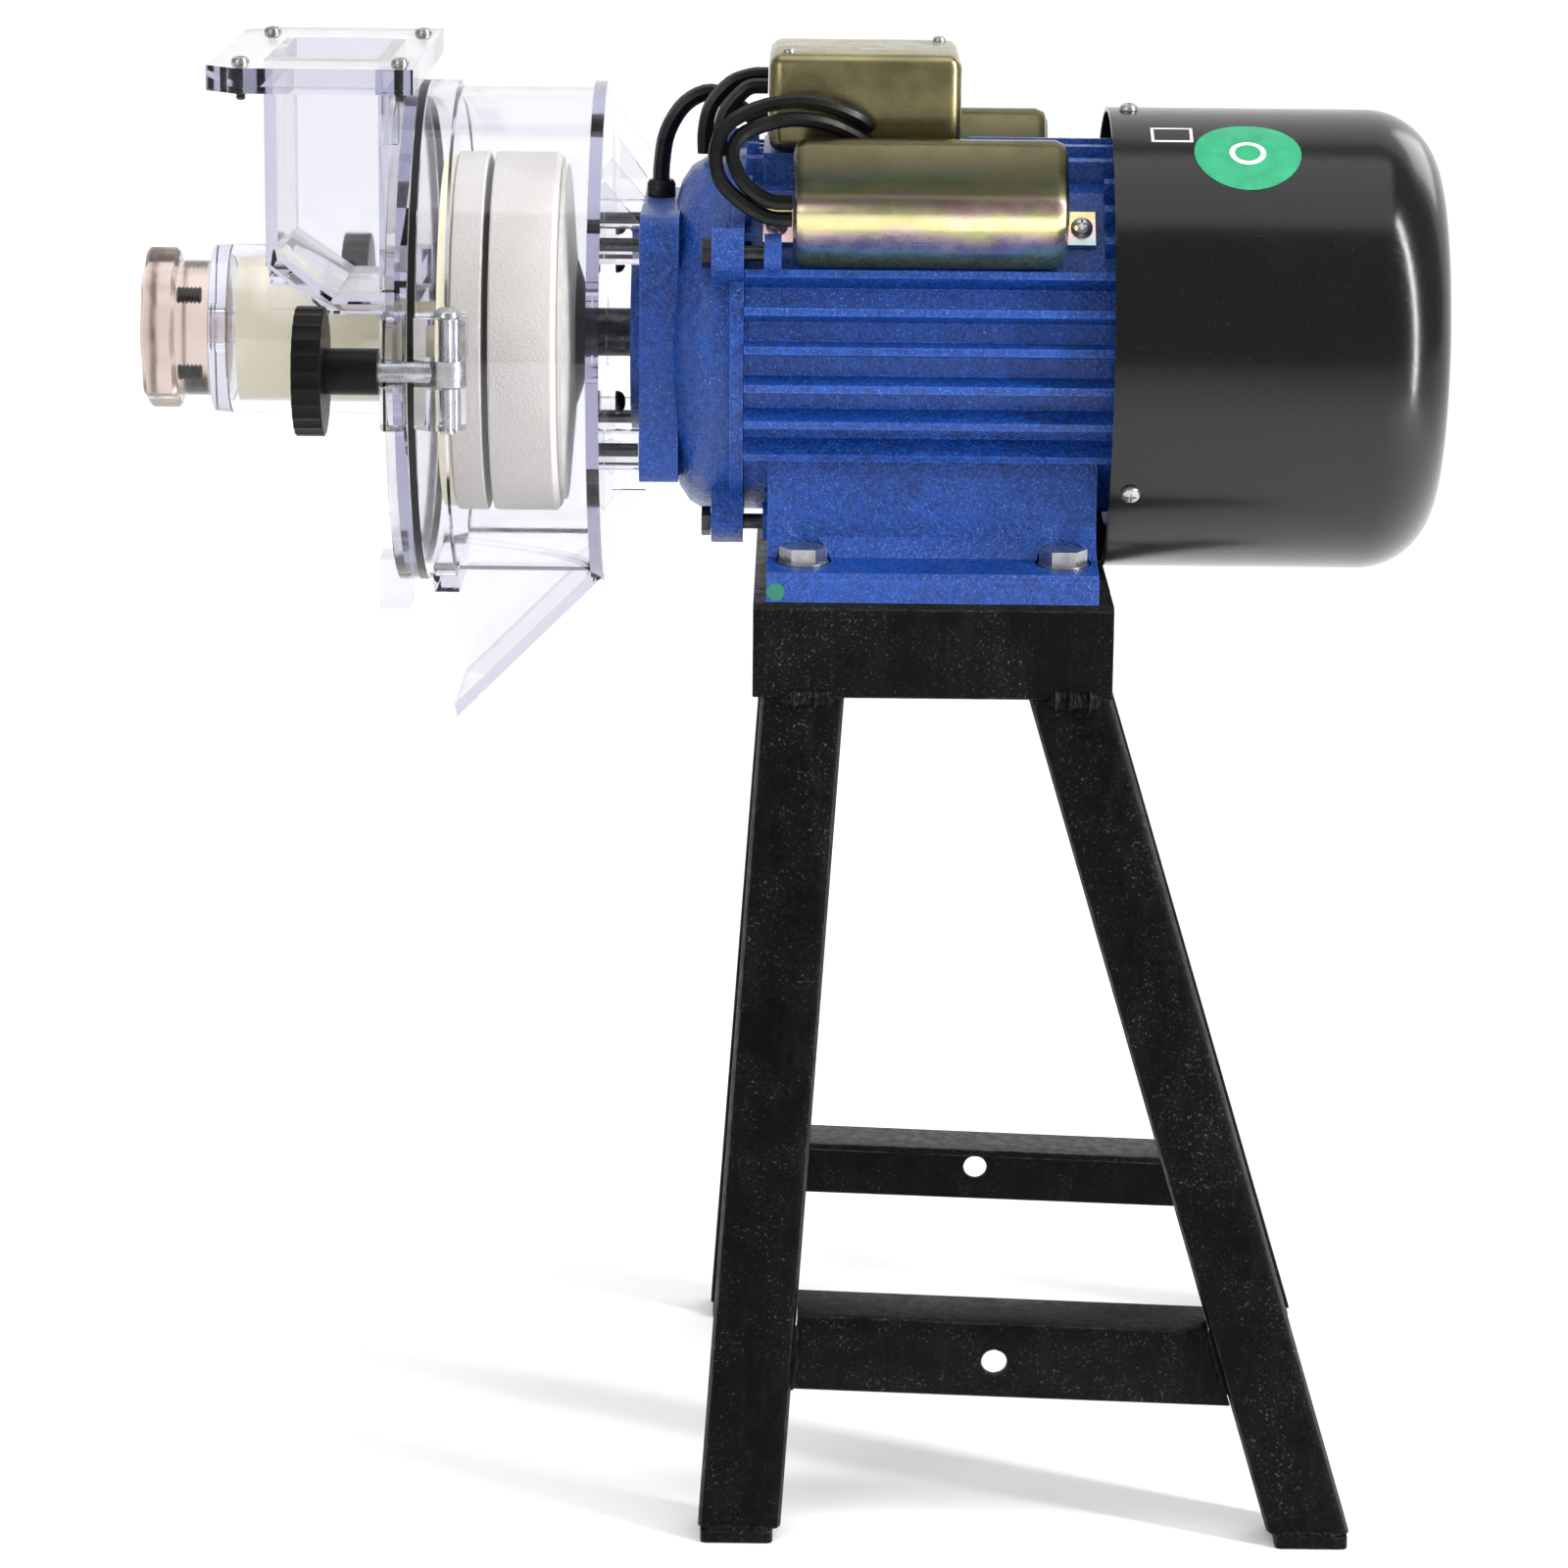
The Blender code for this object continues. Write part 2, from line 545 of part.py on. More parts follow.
def smooth_path(points, per_span=6):
    """A Catmull-Rom curve through the points."""
    pts = [Vector(p) for p in points]
    pts = [2.0 * pts[0] - pts[1]] + pts + [2.0 * pts[-1] - pts[-2]]
    out = []
    for i in range(1, len(pts) - 2):
        p0, p1, p2, p3 = pts[i - 1:i + 3]
        for k in range(per_span):
            t = k / per_span
            out.append(0.5 * (2.0 * p1 + (p2 - p0) * t + (2.0 * p0 - 5.0 * p1 + 4.0 * p2 - p3) * t * t
                              + (3.0 * p1 - p0 - 3.0 * p2 + p3) * t ** 3))
    return out + [pts[-2]]


def lead(name, points, diameter, per_span=4):
    curve = bpy.data.curves.new(name, "CURVE")
    curve.dimensions = "3D"
    curve.bevel_depth = diameter / 2.0 * MM
    curve.bevel_resolution = 2
    curve.use_fill_caps = True
    path = smooth_path(points, per_span)
    spline = curve.splines.new("POLY")
    spline.points.add(len(path) - 1)
    for point, target in zip(spline.points, path):
        point.co = (*(target * MM), 1.0)
    obj = bpy.data.objects.new(name, curve)
    obj.location = PLACE
    bpy.context.scene.collection.objects.link(obj)
    paint(obj, *RUBBER)


def leads():
    gland = lathe("cable_gland", [(477.3, 3.7), (477.3, 5.6), (482.5, 5.6), (484.0, 4.8), (484.0, 3.7)],
                  (-54.4, 12.0, 0.0), "Z", 20)
    paint(gland, *RUBBER)
    lead("lead_winding", [(-54.4, 12.0, 478.0), (-54.3, 12.0, 490.0), (-52.0, 12.0, 503.0),
                          (-45.0, 12.0, 514.0), (-35.0, 12.0, 518.5), (-26.0, 12.0, 514.0),
                          (-19.5, 12.0, 509.5), (-15.0, 12.0, 508.4), (-12.5, 12.0, 508.4)], 6.6)
    for name, y, outer in (("lead_box_left", -2.0, 0.0), ("lead_box_right", -9.5, 6.0)):
        lead(name, [(-37.0 + outer, y, 496.0), (-37.0 + outer, y, 505.0),
                    (-34.5 + outer, y, 515.0 - 0.2 * outer), (-27.0 + 0.7 * outer, y, 523.5 - 0.5 * outer),
                    (-19.0, y, 526.5 - 0.6 * outer), (-14.8, y, 526.8 - 0.6 * outer),
                    (-12.5, y, 526.8 - 0.6 * outer)], 6.0)
    for name, d in (("lead_capacitor_outer", 0.0), ("lead_capacitor_inner", 6.4)):
        lead(name, [(-2.7, -66.0, 478.5 + d), (-11.0, -66.5, 479.0 + d), (-20.0 + 0.2 * d, -66.0, 483.5 + d),
                    (-29.5 + d, -63.5, 492.0 + 0.5 * d), (-32.0 + d, -60.0, 502.0),
                    (-28.5 + 0.9 * d, -57.0, 512.0 - 0.5 * d), (-17.0 + 0.4 * d, -53.5, 519.0 - d),
                    (-3.0, -50.0, 521.5 - 1.05 * d), (10.0, -47.0, 520.0 - 1.1 * d),
                    (21.0, -43.0, 515.5 - 1.2 * d), (25.6, -39.6, 512.0 - 1.2 * d),
                    (26.5, -37.4, 511.4 - 1.2 * d), (26.5, -35.5, 511.4 - 1.2 * d)],
             5.8, 3)


def build_motor():
    housing()
    front_shield()
    rear_shield()
    fan_cover()
    rotor_and_fan()
    stator_and_bearings()
    terminal_box()
    capacitor_cover("capacitor_cover_near", -1.0, TIN_X)
    capacitor_cover("capacitor_cover_far", 1.0, TIN_X - 3.0)
    motor_fasteners()
    leads()


# ---------------------------------------------------------------- milling head


def drum():
    x0, x1 = DRUM_X
    body = lathe("mill_chamber", [(x0, DRUM_BORE_R), (x0, DRUM_R), (-133.0, DRUM_R), (-132.0, DRUM_WALL_R),
                                  (-80.0, DRUM_WALL_R), (-80.0, DRUM_R), (x1, DRUM_R), (x1, 14.0),
                                  (-80.0, 14.0), (-80.0, DRUM_BORE_R)], steps=48)
    # spout: a sloping floor between two cheeks, open towards the front
    spout = [(-142.0, 337.0), (-142.0, 331.0), (-133.0, 276.5), (-75.0, 334.0), (-75.0, 337.0)]
    add(body, prism("spout", spout, "Y", -35.0, 35.0))
    for side in (-1.0, 1.0):
        lug = [(-143.5, side * 92.5), (-143.5, side * 111.0), (-138.5, side * 116.0), (-128.0, side * 116.0),
               (-124.0, side * 111.0), (-124.0, side * 92.5)]
        add(body, prism("clamp_lug", lug, "Z", 404.0, 446.0))
        for up in (-1.0, 1.0):
            z = AXIS_Z + up * 40.0
            pad = rounded_rectangle(side * 40.0 - 6.5, side * 40.0 + 6.5, z - 7.5, z + 7.5, 3.0, 2)
            add(body, prism("standoff", pad, "X", -77.0, -61.3),
                prism("gusset", [(-76.0, z), (-76.0, z + up * 25.0), (-61.3, z + up * 8.0), (-61.3, z)], "Y",
                      side * 40.0 - 1.5, side * 40.0 + 1.5))
    opening = [(-132.0, 348.0), (-132.0, 326.2), (-152.0, 326.2), (-152.0, 263.3), (-81.0, 333.7),
               (-81.0, 348.0)]
    cut(body, prism("spout_opening", opening, "Y", -31.0, 31.0))
    for side in (-1.0, 1.0):
        slot_y = sorted((side * 100.2, side * 120.0))
        cut(body, box("eye_slot", -150.0, -120.0, *slot_y, AXIS_Z - 5.3, AXIS_Z + 5.3),
            rod("pin_hole", 395.0, 455.0, 3.3, (PIN_X, side * PIN_Y, 0.0), "Z", 16))
    paint(body, *CLEAR)


def cover():
    """Disc, barrel and inlet neck moulded as one; the neck's floor slopes down into the barrel's top."""
    body = lathe("front_cover", [(-147.3, 0.0), (-147.3, DRUM_R), (-155.5, DRUM_R), (-155.5, 93.0),
                                 (-152.3, 92.0), (-152.3, BARREL_R), (-222.0, BARREL_R), (-222.0, 0.0)],
                                 steps=48)
    neck_x = (-205.0, -157.0)
    add(body, box("neck", *neck_x, -NECK_Y, NECK_Y, 437.5, 530.0),
        box("neck_link", -158.0, -150.0, -NECK_Y, NECK_Y, 437.5, 459.0))
    plate = [(-224.0, -INLET_Y + 12.0), (-212.0, -INLET_Y), (-145.0, -INLET_Y), (-145.0, INLET_Y),
             (-212.0, INLET_Y), (-224.0, INLET_Y - 12.0)]
    add(body, prism("inlet_flange", plate, "Z", INLET_TOP - 9.5, INLET_TOP))
    add(body, box("flange_tab", -165.0, -153.0, -12.0, 12.0, 315.0, 335.0))
    for side in (-1.0, 1.0):
        lug_y = sorted((side * 95.0, side * 118.0))
        lug = box("cover_lug", -157.5, -147.3, *lug_y, 404.0, 446.0)
        round_face = rod("lug_round", 400.0, 450.0, CLAMP_FACE - 0.4, (PIN_X, side * PIN_Y, 0.0), "Z", 48)
        step = lug.modifiers.new("round face", "BOOLEAN")
        step.operation = "INTERSECT"
        step.solver = "EXACT"
        step.object = as_tool(round_face)
        add(body, lug)
    # everything outside the neck's slope is open: cut the corner below the sloping floor
    cut(body, prism("neck_corner", [(-210.0, 458.5), (-210.0, 430.0), (-181.0, 430.0), (-181.0, 437.5),
                                    (-205.0, 456.0)],
                    "Y", -60.0, -BARREL_R - 0.2),
        prism("neck_corner", [(-210.0, 458.5), (-210.0, 430.0), (-181.0, 430.0), (-181.0, 437.5),
                              (-205.0, 456.0)],
              "Y", BARREL_R + 0.2, 60.0))
    # barrel bore, stopped above by the sloping floor
    bore = rod("barrel_bore", -230.0, -140.0, BARREL_BORE_R, (0, 0, AXIS_Z), "X", 48)
    roof = prism("bore_roof", [(-203.0, 470.0), (-203.0, 454.8), (-180.5, 439.4), (-135.0, 439.4),
                               (-135.0, 470.0)],
                 "Y", -60.0, 60.0)
    cut(bore, roof)
    cut(body, bore)
    channel = [(-200.5, 545.0), (-200.5, 460.0), (-178.3, 444.6), (-161.5, 444.6), (-161.5, 545.0)]
    inner = NECK_Y - NECK_WALL
    cut(body, prism("throat", channel, "Y", -inner, inner),
        prism("feed_window", [(-170.0, 444.6), (-170.0, 452.6), (-140.0, 452.6), (-140.0, 444.6)],
              "Y", -19.0, 19.0))
    for side in (-1.0, 1.0):
        slot_y = sorted((side * 102.5, side * 125.0))
        cut(body, box("bolt_slot", -165.0, -140.0, *slot_y, AXIS_Z - 4.6, AXIS_Z + 4.6))
    paint(settle(body, -150.0, 0.0, AXIS_Z), *CLEAR)
    seal = lathe("cover_seal", [(-147.0, 94.0), (-147.0, 98.2), (-144.3, 98.2), (-144.3, 94.0)], steps=40)
    paint(seal, *RUBBER)
    cap = lathe("end_cap", [(-222.3, 6.5), (-222.3, BARREL_R), (-229.5, BARREL_R - 0.5), (-229.5, 6.5)],
                steps=40)
    paint(cap, *CLEAR)


def adjuster():
    """Lobed knob on a threaded spindle; turning it moves the stone carrier along the barrel."""
    lobes = []
    for i in range(40):
        a = 2.0 * math.pi * i / 40
        r = 30.4 + 1.4 * math.cos(8 * a)
        lobes.append((r * math.cos(a), AXIS_Z + r * math.sin(a)))
    knob = prism("adjuster_knob", lobes, "X", -256.0, -243.0)
    bevel(knob, 1.5, 1, 60.0)
    add(knob, rod("skirt", -245.0, -230.3, 26.5, (0, 0, AXIS_Z), "X", 32),
        rod("spindle", -232.0, -206.0, 6.0, (0, 0, AXIS_Z), "X", 20))
    paint(settle(knob, -243.0, 0.0, AXIS_Z), *KNOB_TINT)


def carrier():
    """Ivory plunger that fills the barrel: a slim core and three webs that hold the fixed stone's plate."""
    body = rod("stone_carrier", -219.0, -151.0, BARREL_BORE_R - 0.4, (0, 0, AXIS_Z), "X", 40)
    slope = [(-206.0, 470.0), (-206.0, 453.0), (-184.0, 436.8), (-140.0, 436.8), (-140.0, 470.0)]
    cut(body, prism("feed_slope", slope, "Y", -40.0, 40.0))
    add(body, rod("core", -153.0, -134.0, 11.4, (0, 0, AXIS_Z), "X", 28))
    for angle in (-90.0, 30.0, 150.0):
        a = math.radians(angle)
        c, s = math.cos(a), math.sin(a)
        outline = [(u * c - v * s, AXIS_Z + u * s + v * c) for u, v in ((9.0, -3.0), (30.0, -3.0),
                                                                        (30.0, 3.0), (9.0, 3.0))]
        add(body, prism("web", outline, "X", -137.4, -133.9))
    add(body, lathe("plate", [(-138.0, STONE_BORE_R), (-138.0, STONE_R - 1.5), (-133.3, STONE_R - 1.5),
                              (-133.3, STONE_BORE_R)], steps=36))
    cut(body, rod("spindle_hole", -225.0, -195.0, 6.4, (0, 0, AXIS_Z), "X", 20))
    paint(settle(body, -150.0, 0.0, AXIS_Z), *IVORY)
    fixed = lathe("fixed_stone", [(-133.0, STONE_R), (-121.0, STONE_R), (-121.0, STONE_BORE_R - 2.0),
                                  (-131.0, STONE_BORE_R - 2.0), (-133.0, STONE_BORE_R)], steps=40)
    paint(settle(fixed, -127.0, 0.0, AXIS_Z), *STONE)


def grinding_rotor():
    turning = lathe("rotating_stone", [(-118.5, 13.0), (-118.5, STONE_R), (-94.5, STONE_R),
                                       (-92.5, STONE_R - 2.0), (-92.5, 7.8), (-114.0, 7.8)], steps=40)
    paint(settle(turning, -100.0, 0.0, AXIS_Z), *STONE)
    dish = lathe("stone_backing_plate", [(-92.2, 7.8), (-92.2, 66.0), (-90.4, 66.0), (-87.3, 30.0),
                                         (-83.0, 17.0), (-83.0, 9.8), (-86.7, 9.8), (-86.7, 7.8)], steps=32)
    paint(settle(dish, -90.0, 0.0, AXIS_Z), *DARK_STEEL)
    nut = lathe("stone_nut", [(-127.5, 6.3), (-127.5, 9.0), (-122.0, 11.5), (-118.9, 11.5), (-118.9, 7.8),
                              (-121.8, 7.8), (-121.8, 6.3)], steps=18)
    paint(settle(nut, -120.0, 0.0, AXIS_Z), *STEEL)


def clamps():
    for label, side in (("near", -1.0), ("far", 1.0)):
        y = side * PIN_Y
        pin = lathe("pivot_pin_" + label, [(402.0, 0.0), (402.0, 3.0), (446.3, 3.0), (446.3, 5.2),
                                           (448.0, 4.8), (449.3, 3.0), (449.8, 0.0)], (PIN_X, y, 0.0),
                                           "Z", 18)
        paint(pin, *STEEL)
        eye = lathe("swing_bolt_" + label, [(420.2, 3.3), (420.2, 7.0), (429.8, 7.0), (429.8, 3.3)],
                    (PIN_X, y, 0.0), "Z", 24)
        add(eye, rod("shank", -189.5, PIN_X - 5.0, 4.0, (0.0, y, AXIS_Z), "X", 18))
        paint(settle(eye, PIN_X, y, AXIS_Z), *STEEL)
        face = PIN_X - CLAMP_FACE
        sleeve = lathe("clamp_sleeve_" + label, [(face, 4.3), (face, 8.85), (face - 19.4, 8.85),
                                                 (face - 19.4, 4.3)], (0.0, y, AXIS_Z), steps=24)
        paint(settle(sleeve, face, y, AXIS_Z), *BLACK_PLASTIC)
        teeth = []
        for i in range(48):
            a = 2.0 * math.pi * i / 48
            r = 24.3 if i % 2 else 23.3
            teeth.append((y + r * math.cos(a), AXIS_Z + r * math.sin(a)))
        knob = prism("clamp_knob_" + label, teeth, "X", face - 30.7, face - 19.7)
        cut(knob, rod("knob_bore", face - 40.0, face - 10.0, 4.3, (0.0, y, AXIS_Z), "X", 18),
            rod("knob_face", face - 40.0, face - 28.7, 17.0, (0.0, y, AXIS_Z), "X", 28))
        paint(settle(knob, face - 25.0, y, AXIS_Z), *BLACK_PLASTIC)


def build_mill():
    drum()
    cover()
    adjuster()
    carrier()
    grinding_rotor()
    clamps()


for old in list(bpy.data.objects):
    bpy.data.objects.remove(old, do_unlink=True)
build_stand()
build_motor()
build_mill()
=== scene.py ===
"""Studio scene of the electric stone grain mill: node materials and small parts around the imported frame."""

import json
import math
import random

import bmesh
import bpy
from mathutils import Matrix, Vector

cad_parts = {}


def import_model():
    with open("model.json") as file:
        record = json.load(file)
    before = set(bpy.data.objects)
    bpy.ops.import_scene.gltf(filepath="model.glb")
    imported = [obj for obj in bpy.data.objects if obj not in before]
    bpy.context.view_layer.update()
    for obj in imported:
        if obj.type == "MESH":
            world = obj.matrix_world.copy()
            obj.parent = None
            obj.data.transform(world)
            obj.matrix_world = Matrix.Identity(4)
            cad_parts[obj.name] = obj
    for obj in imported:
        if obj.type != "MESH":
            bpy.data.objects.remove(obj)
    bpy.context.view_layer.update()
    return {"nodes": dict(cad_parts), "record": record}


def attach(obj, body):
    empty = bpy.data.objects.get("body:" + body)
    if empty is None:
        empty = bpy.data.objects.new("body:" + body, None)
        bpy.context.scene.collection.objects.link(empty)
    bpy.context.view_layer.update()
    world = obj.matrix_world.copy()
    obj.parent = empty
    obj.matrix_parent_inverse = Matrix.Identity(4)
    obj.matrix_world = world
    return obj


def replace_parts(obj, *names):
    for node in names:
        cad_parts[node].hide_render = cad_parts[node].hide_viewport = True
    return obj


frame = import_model()

MM = 0.001
WELD_APART = 1e-4                   # mm, points this close become one
AXIS_Z = 450.0                      # shaft height, mm
NODES = frame["nodes"]
UP = (0.0, 0.0, 1.0)
ALONG_SHAFT = (1, 0, 0)
SIDES = (("near", -1.0), ("far", 1.0))      # and their way along Y


def box(name):
    """(low corner, high corner) of a CAD node in millimetres, to a tenth."""
    points = [NODES[name].matrix_world @ v.co for v in NODES[name].data.vertices]
    return [[round(pick(p[k] for p in points) / MM, 1) for k in range(3)] for pick in (min, max)]


# ------------------------------------------------------------------ node trees

class Tree:
    """A material's node tree with short calls for what the materials here share."""

    def __init__(self, name):
        self.material = bpy.data.materials.new(name)
        self.material.use_nodes = True
        self.nodes = self.material.node_tree.nodes
        self.links = self.material.node_tree.links
        self.shader = self.nodes["Principled BSDF"]
        self.output = self.nodes["Material Output"]
        self.place = self.nodes.new("ShaderNodeTexCoord").outputs["Object"]

    def new(self, kind, **inputs):
        node = self.nodes.new("ShaderNode" + kind)
        for key, value in inputs.items():
            self.put(node.inputs[key.replace("_", " ")], value)
        return node

    def put(self, socket, value):
        if isinstance(value, bpy.types.NodeSocket):
            self.links.new(value, socket)
        elif isinstance(value, (tuple, list)) and len(value) == 3 and socket.type == "RGBA":
            socket.default_value = (*value, 1.0)
        else:
            socket.default_value = value

    def set(self, **inputs):
        """Principled inputs, with an underscore for each space in a name."""
        for key, value in inputs.items():
            self.put(self.shader.inputs[key.replace("_", " ")], value)

    def stretched(self, x, y, z):
        node = self.new("Mapping", Vector=self.place)
        node.inputs["Scale"].default_value = (x, y, z)
        return node.outputs["Vector"]

    def noise(self, scale, detail=3.0, rough=0.55, where=None, distort=0.0):
        return self.new("TexNoise", Vector=where or self.place, Scale=scale, Detail=detail, Roughness=rough,
                        Distortion=distort).outputs["Fac"]

    def cells(self, scale):
        return self.new("TexVoronoi", Vector=self.place, Scale=scale).outputs["Distance"]

    def ramp(self, fac, *stops):
        """stops are (position, grey) or (position, (r, g, b))."""
        node = self.new("ValToRGB", Fac=fac)
        band = node.color_ramp
        while len(band.elements) < len(stops):
            band.elements.new(0.5)
        for element, (position, value) in zip(band.elements, stops):
            element.position = position
            element.color = (*value, 1.0) if isinstance(value, tuple) else (value, value, value, 1.0)
        return node.outputs["Color"]

    def mix(self, fac, a, b):
        node = self.nodes.new("ShaderNodeMix")
        node.data_type = "RGBA"
        for index, value in ((0, fac), (6, a), (7, b)):
            self.put(node.inputs[index], value)
        return node.outputs[2]

    def maths(self, kind, a, b=0.0, clamp=False):
        node = self.nodes.new("ShaderNodeMath")
        node.operation, node.use_clamp = kind, clamp
        self.put(node.inputs[0], a)
        self.put(node.inputs[1], b)
        return node.outputs[0]

    def edges(self, radius, low=0.02, high=0.25):
        """1 on convex and concave edges, 0 on flats."""
        soft = self.new("Bevel", Radius=radius)
        soft.samples = 4
        dot = self.nodes.new("ShaderNodeVectorMath")
        dot.operation = "DOT_PRODUCT"
        self.links.new(soft.outputs[0], dot.inputs[0])
        self.links.new(self.new("NewGeometry").outputs["Normal"], dot.inputs[1])
        turned = self.maths("SUBTRACT", 1.0, dot.outputs["Value"], clamp=True)
        return self.ramp(turned, (low, 0.0), (high, 1.0))

    def facing_up(self):
        parts = self.new("SeparateXYZ", Vector=self.new("NewGeometry").outputs["Normal"])
        return self.ramp(parts.outputs["Z"], (0.2, 0.0), (0.95, 1.0))

    def bump(self, height, strength, distance, under=None):
        node = self.new("Bump", Height=height, Strength=strength, Distance=distance)
        if under is not None:
            self.links.new(under, node.inputs["Normal"])
        self.links.new(node.outputs["Normal"], self.shader.inputs["Normal"])
        return node.outputs["Normal"]


def stand_paint():
    """Thin black paint brushed over mill scale: grey specks, scuffed edges, streaks and some dust."""
    t = Tree("stand_paint")
    speck = t.ramp(t.noise(900.0, 2.0, 0.7), (0.60, 0.0), (0.72, 1.0))
    blotch = t.ramp(t.noise(38.0, 5.0, 0.65, distort=0.6), (0.38, 0.0), (0.75, 1.0))
    streak = t.ramp(t.noise(60.0, 4.0, 0.7, t.stretched(3.0, 3.0, 0.25)), (0.5, 0.0), (0.8, 1.0))
    worn = t.maths("MULTIPLY", t.edges(1.2 * MM), t.ramp(t.noise(150.0, 4.0, 0.7), (0.42, 0.0), (0.66, 1.0)))
    dust = t.maths("MULTIPLY", t.facing_up(), t.ramp(t.noise(120.0, 5.0, 0.7), (0.35, 0.1), (0.8, 0.7)))
    colour = t.mix(blotch, (0.0012, 0.0012, 0.0014), (0.0045, 0.0045, 0.005))
    colour = t.mix(t.maths("MULTIPLY", speck, blotch), colour, (0.11, 0.11, 0.115))
    colour = t.mix(t.maths("MULTIPLY", streak, 0.2), colour, (0.022, 0.022, 0.023))
    colour = t.mix(t.maths("MULTIPLY", worn, 0.8), colour, (0.13, 0.13, 0.13))
    colour = t.mix(t.maths("MULTIPLY", dust, 0.22), colour, (0.08, 0.078, 0.075))
    t.set(Base_Color=colour, Roughness=t.ramp(t.noise(220.0, 4.0, 0.65), (0.3, 0.28), (0.75, 0.55)))
    t.shader.inputs["Specular IOR Level"].default_value = 0.09
    rough = t.bump(t.noise(1100.0, 3.0, 0.7), 0.35, 0.0002)
    t.bump(t.noise(90.0, 4.0, 0.6), 0.5, 0.0006, rough)
    return t.material


def motor_paint():
    """Blue enamel over a rough casting: orange peel, a painted highlight on edges, painted glints as pale
    flecks, and a paler blue in patches on faces turned up.
    """
    t = Tree("motor_paint")
    cast = t.noise(560.0, 3.0, 0.65)
    tone = t.ramp(t.noise(26.0, 4.0, 0.6), (0.35, 0.0), (0.7, 1.0))
    uneven = t.ramp(t.noise(90.0, 3.0, 0.6), (0.3, 0.25), (0.7, 1.0))
    # mask of the painted highlight on edges, in patches
    rim = t.maths("MULTIPLY", t.edges(1.6 * MM, 0.02, 0.3), uneven)
    # painted glints: pale blue specks over the whole paint
    painted_glint = t.ramp(t.noise(1300.0, 1.0, 0.6), (0.62, 0.0), (0.72, 1.0))
    colour = t.mix(tone, (0.0028, 0.030, 0.170), (0.0065, 0.068, 0.36))
    peel = t.ramp(t.noise(330.0, 3.0, 0.7), (0.36, 0.0), (0.66, 1.0))
    deep = t.mix(0.4, colour, (0.002, 0.015, 0.10))
    colour = t.mix(t.maths("MULTIPLY", peel, 0.45), deep, (0.012, 0.095, 0.50))
    # painted highlight: edges made a lighter blue
    colour = t.mix(t.maths("MULTIPLY", rim, 0.55), colour, (0.05, 0.16, 0.68))
    # painted glints, pale blue
    colour = t.mix(t.maths("MULTIPLY", painted_glint, 0.5), colour, (0.12, 0.30, 0.85))
    # paler blue in patches on faces turned up
    dust = t.maths("MULTIPLY", t.facing_up(), t.ramp(t.noise(75.0, 5.0, 0.7), (0.45, 0.0), (0.85, 0.5)))
    colour = t.mix(t.maths("MULTIPLY", dust, 0.2), colour, (0.16, 0.22, 0.42))
    t.set(Base_Color=colour, Roughness=t.ramp(cast, (0.3, 0.22), (0.75, 0.42)))
    t.shader.inputs["Specular IOR Level"].default_value = 0.35
    t.shader.inputs["Coat Weight"].default_value = 0.2
    t.shader.inputs["Coat Roughness"].default_value = 0.18
    fine = t.bump(cast, 0.9, 0.0011)
    t.bump(t.noise(120.0, 3.0, 0.55), 0.35, 0.001, fine)
    return t.material


def gloss_black_paint():
    """Black enamel on pressed sheet, with faint dust and fine rub marks."""
    t = Tree("gloss_black_paint")
    dust = t.ramp(t.noise(1400.0, 2.0, 0.6), (0.69, 0.0), (0.77, 1.0))
    haze = t.ramp(t.noise(18.0, 4.0, 0.6), (0.35, 0.0), (0.8, 1.0))
    rub = t.ramp(t.noise(240.0, 3.0, 0.7, t.stretched(0.3, 3.0, 3.0)), (0.55, 0.0), (0.85, 1.0))
    worn = t.maths("MULTIPLY", t.edges(0.8 * MM), t.ramp(t.noise(260.0, 3.0, 0.6), (0.5, 0.0), (0.75, 1.0)))
    colour = t.mix(haze, (0.0015, 0.0015, 0.0018), (0.003, 0.003, 0.0033))
    colour = t.mix(t.maths("MULTIPLY", dust, 0.5), colour, (0.09, 0.09, 0.09))
    colour = t.mix(t.maths("MULTIPLY", worn, 0.6), colour, (0.12, 0.11, 0.10))
    gloss = t.mix(rub, t.ramp(haze, (0.0, 0.17), (1.0, 0.22)), (0.30, 0.30, 0.30))
    t.set(Base_Color=colour, Roughness=gloss)
    t.shader.inputs["Specular IOR Level"].default_value = 0.45
    t.bump(t.noise(240.0, 3.0, 0.6), 0.08, 0.0005)
    return t.material


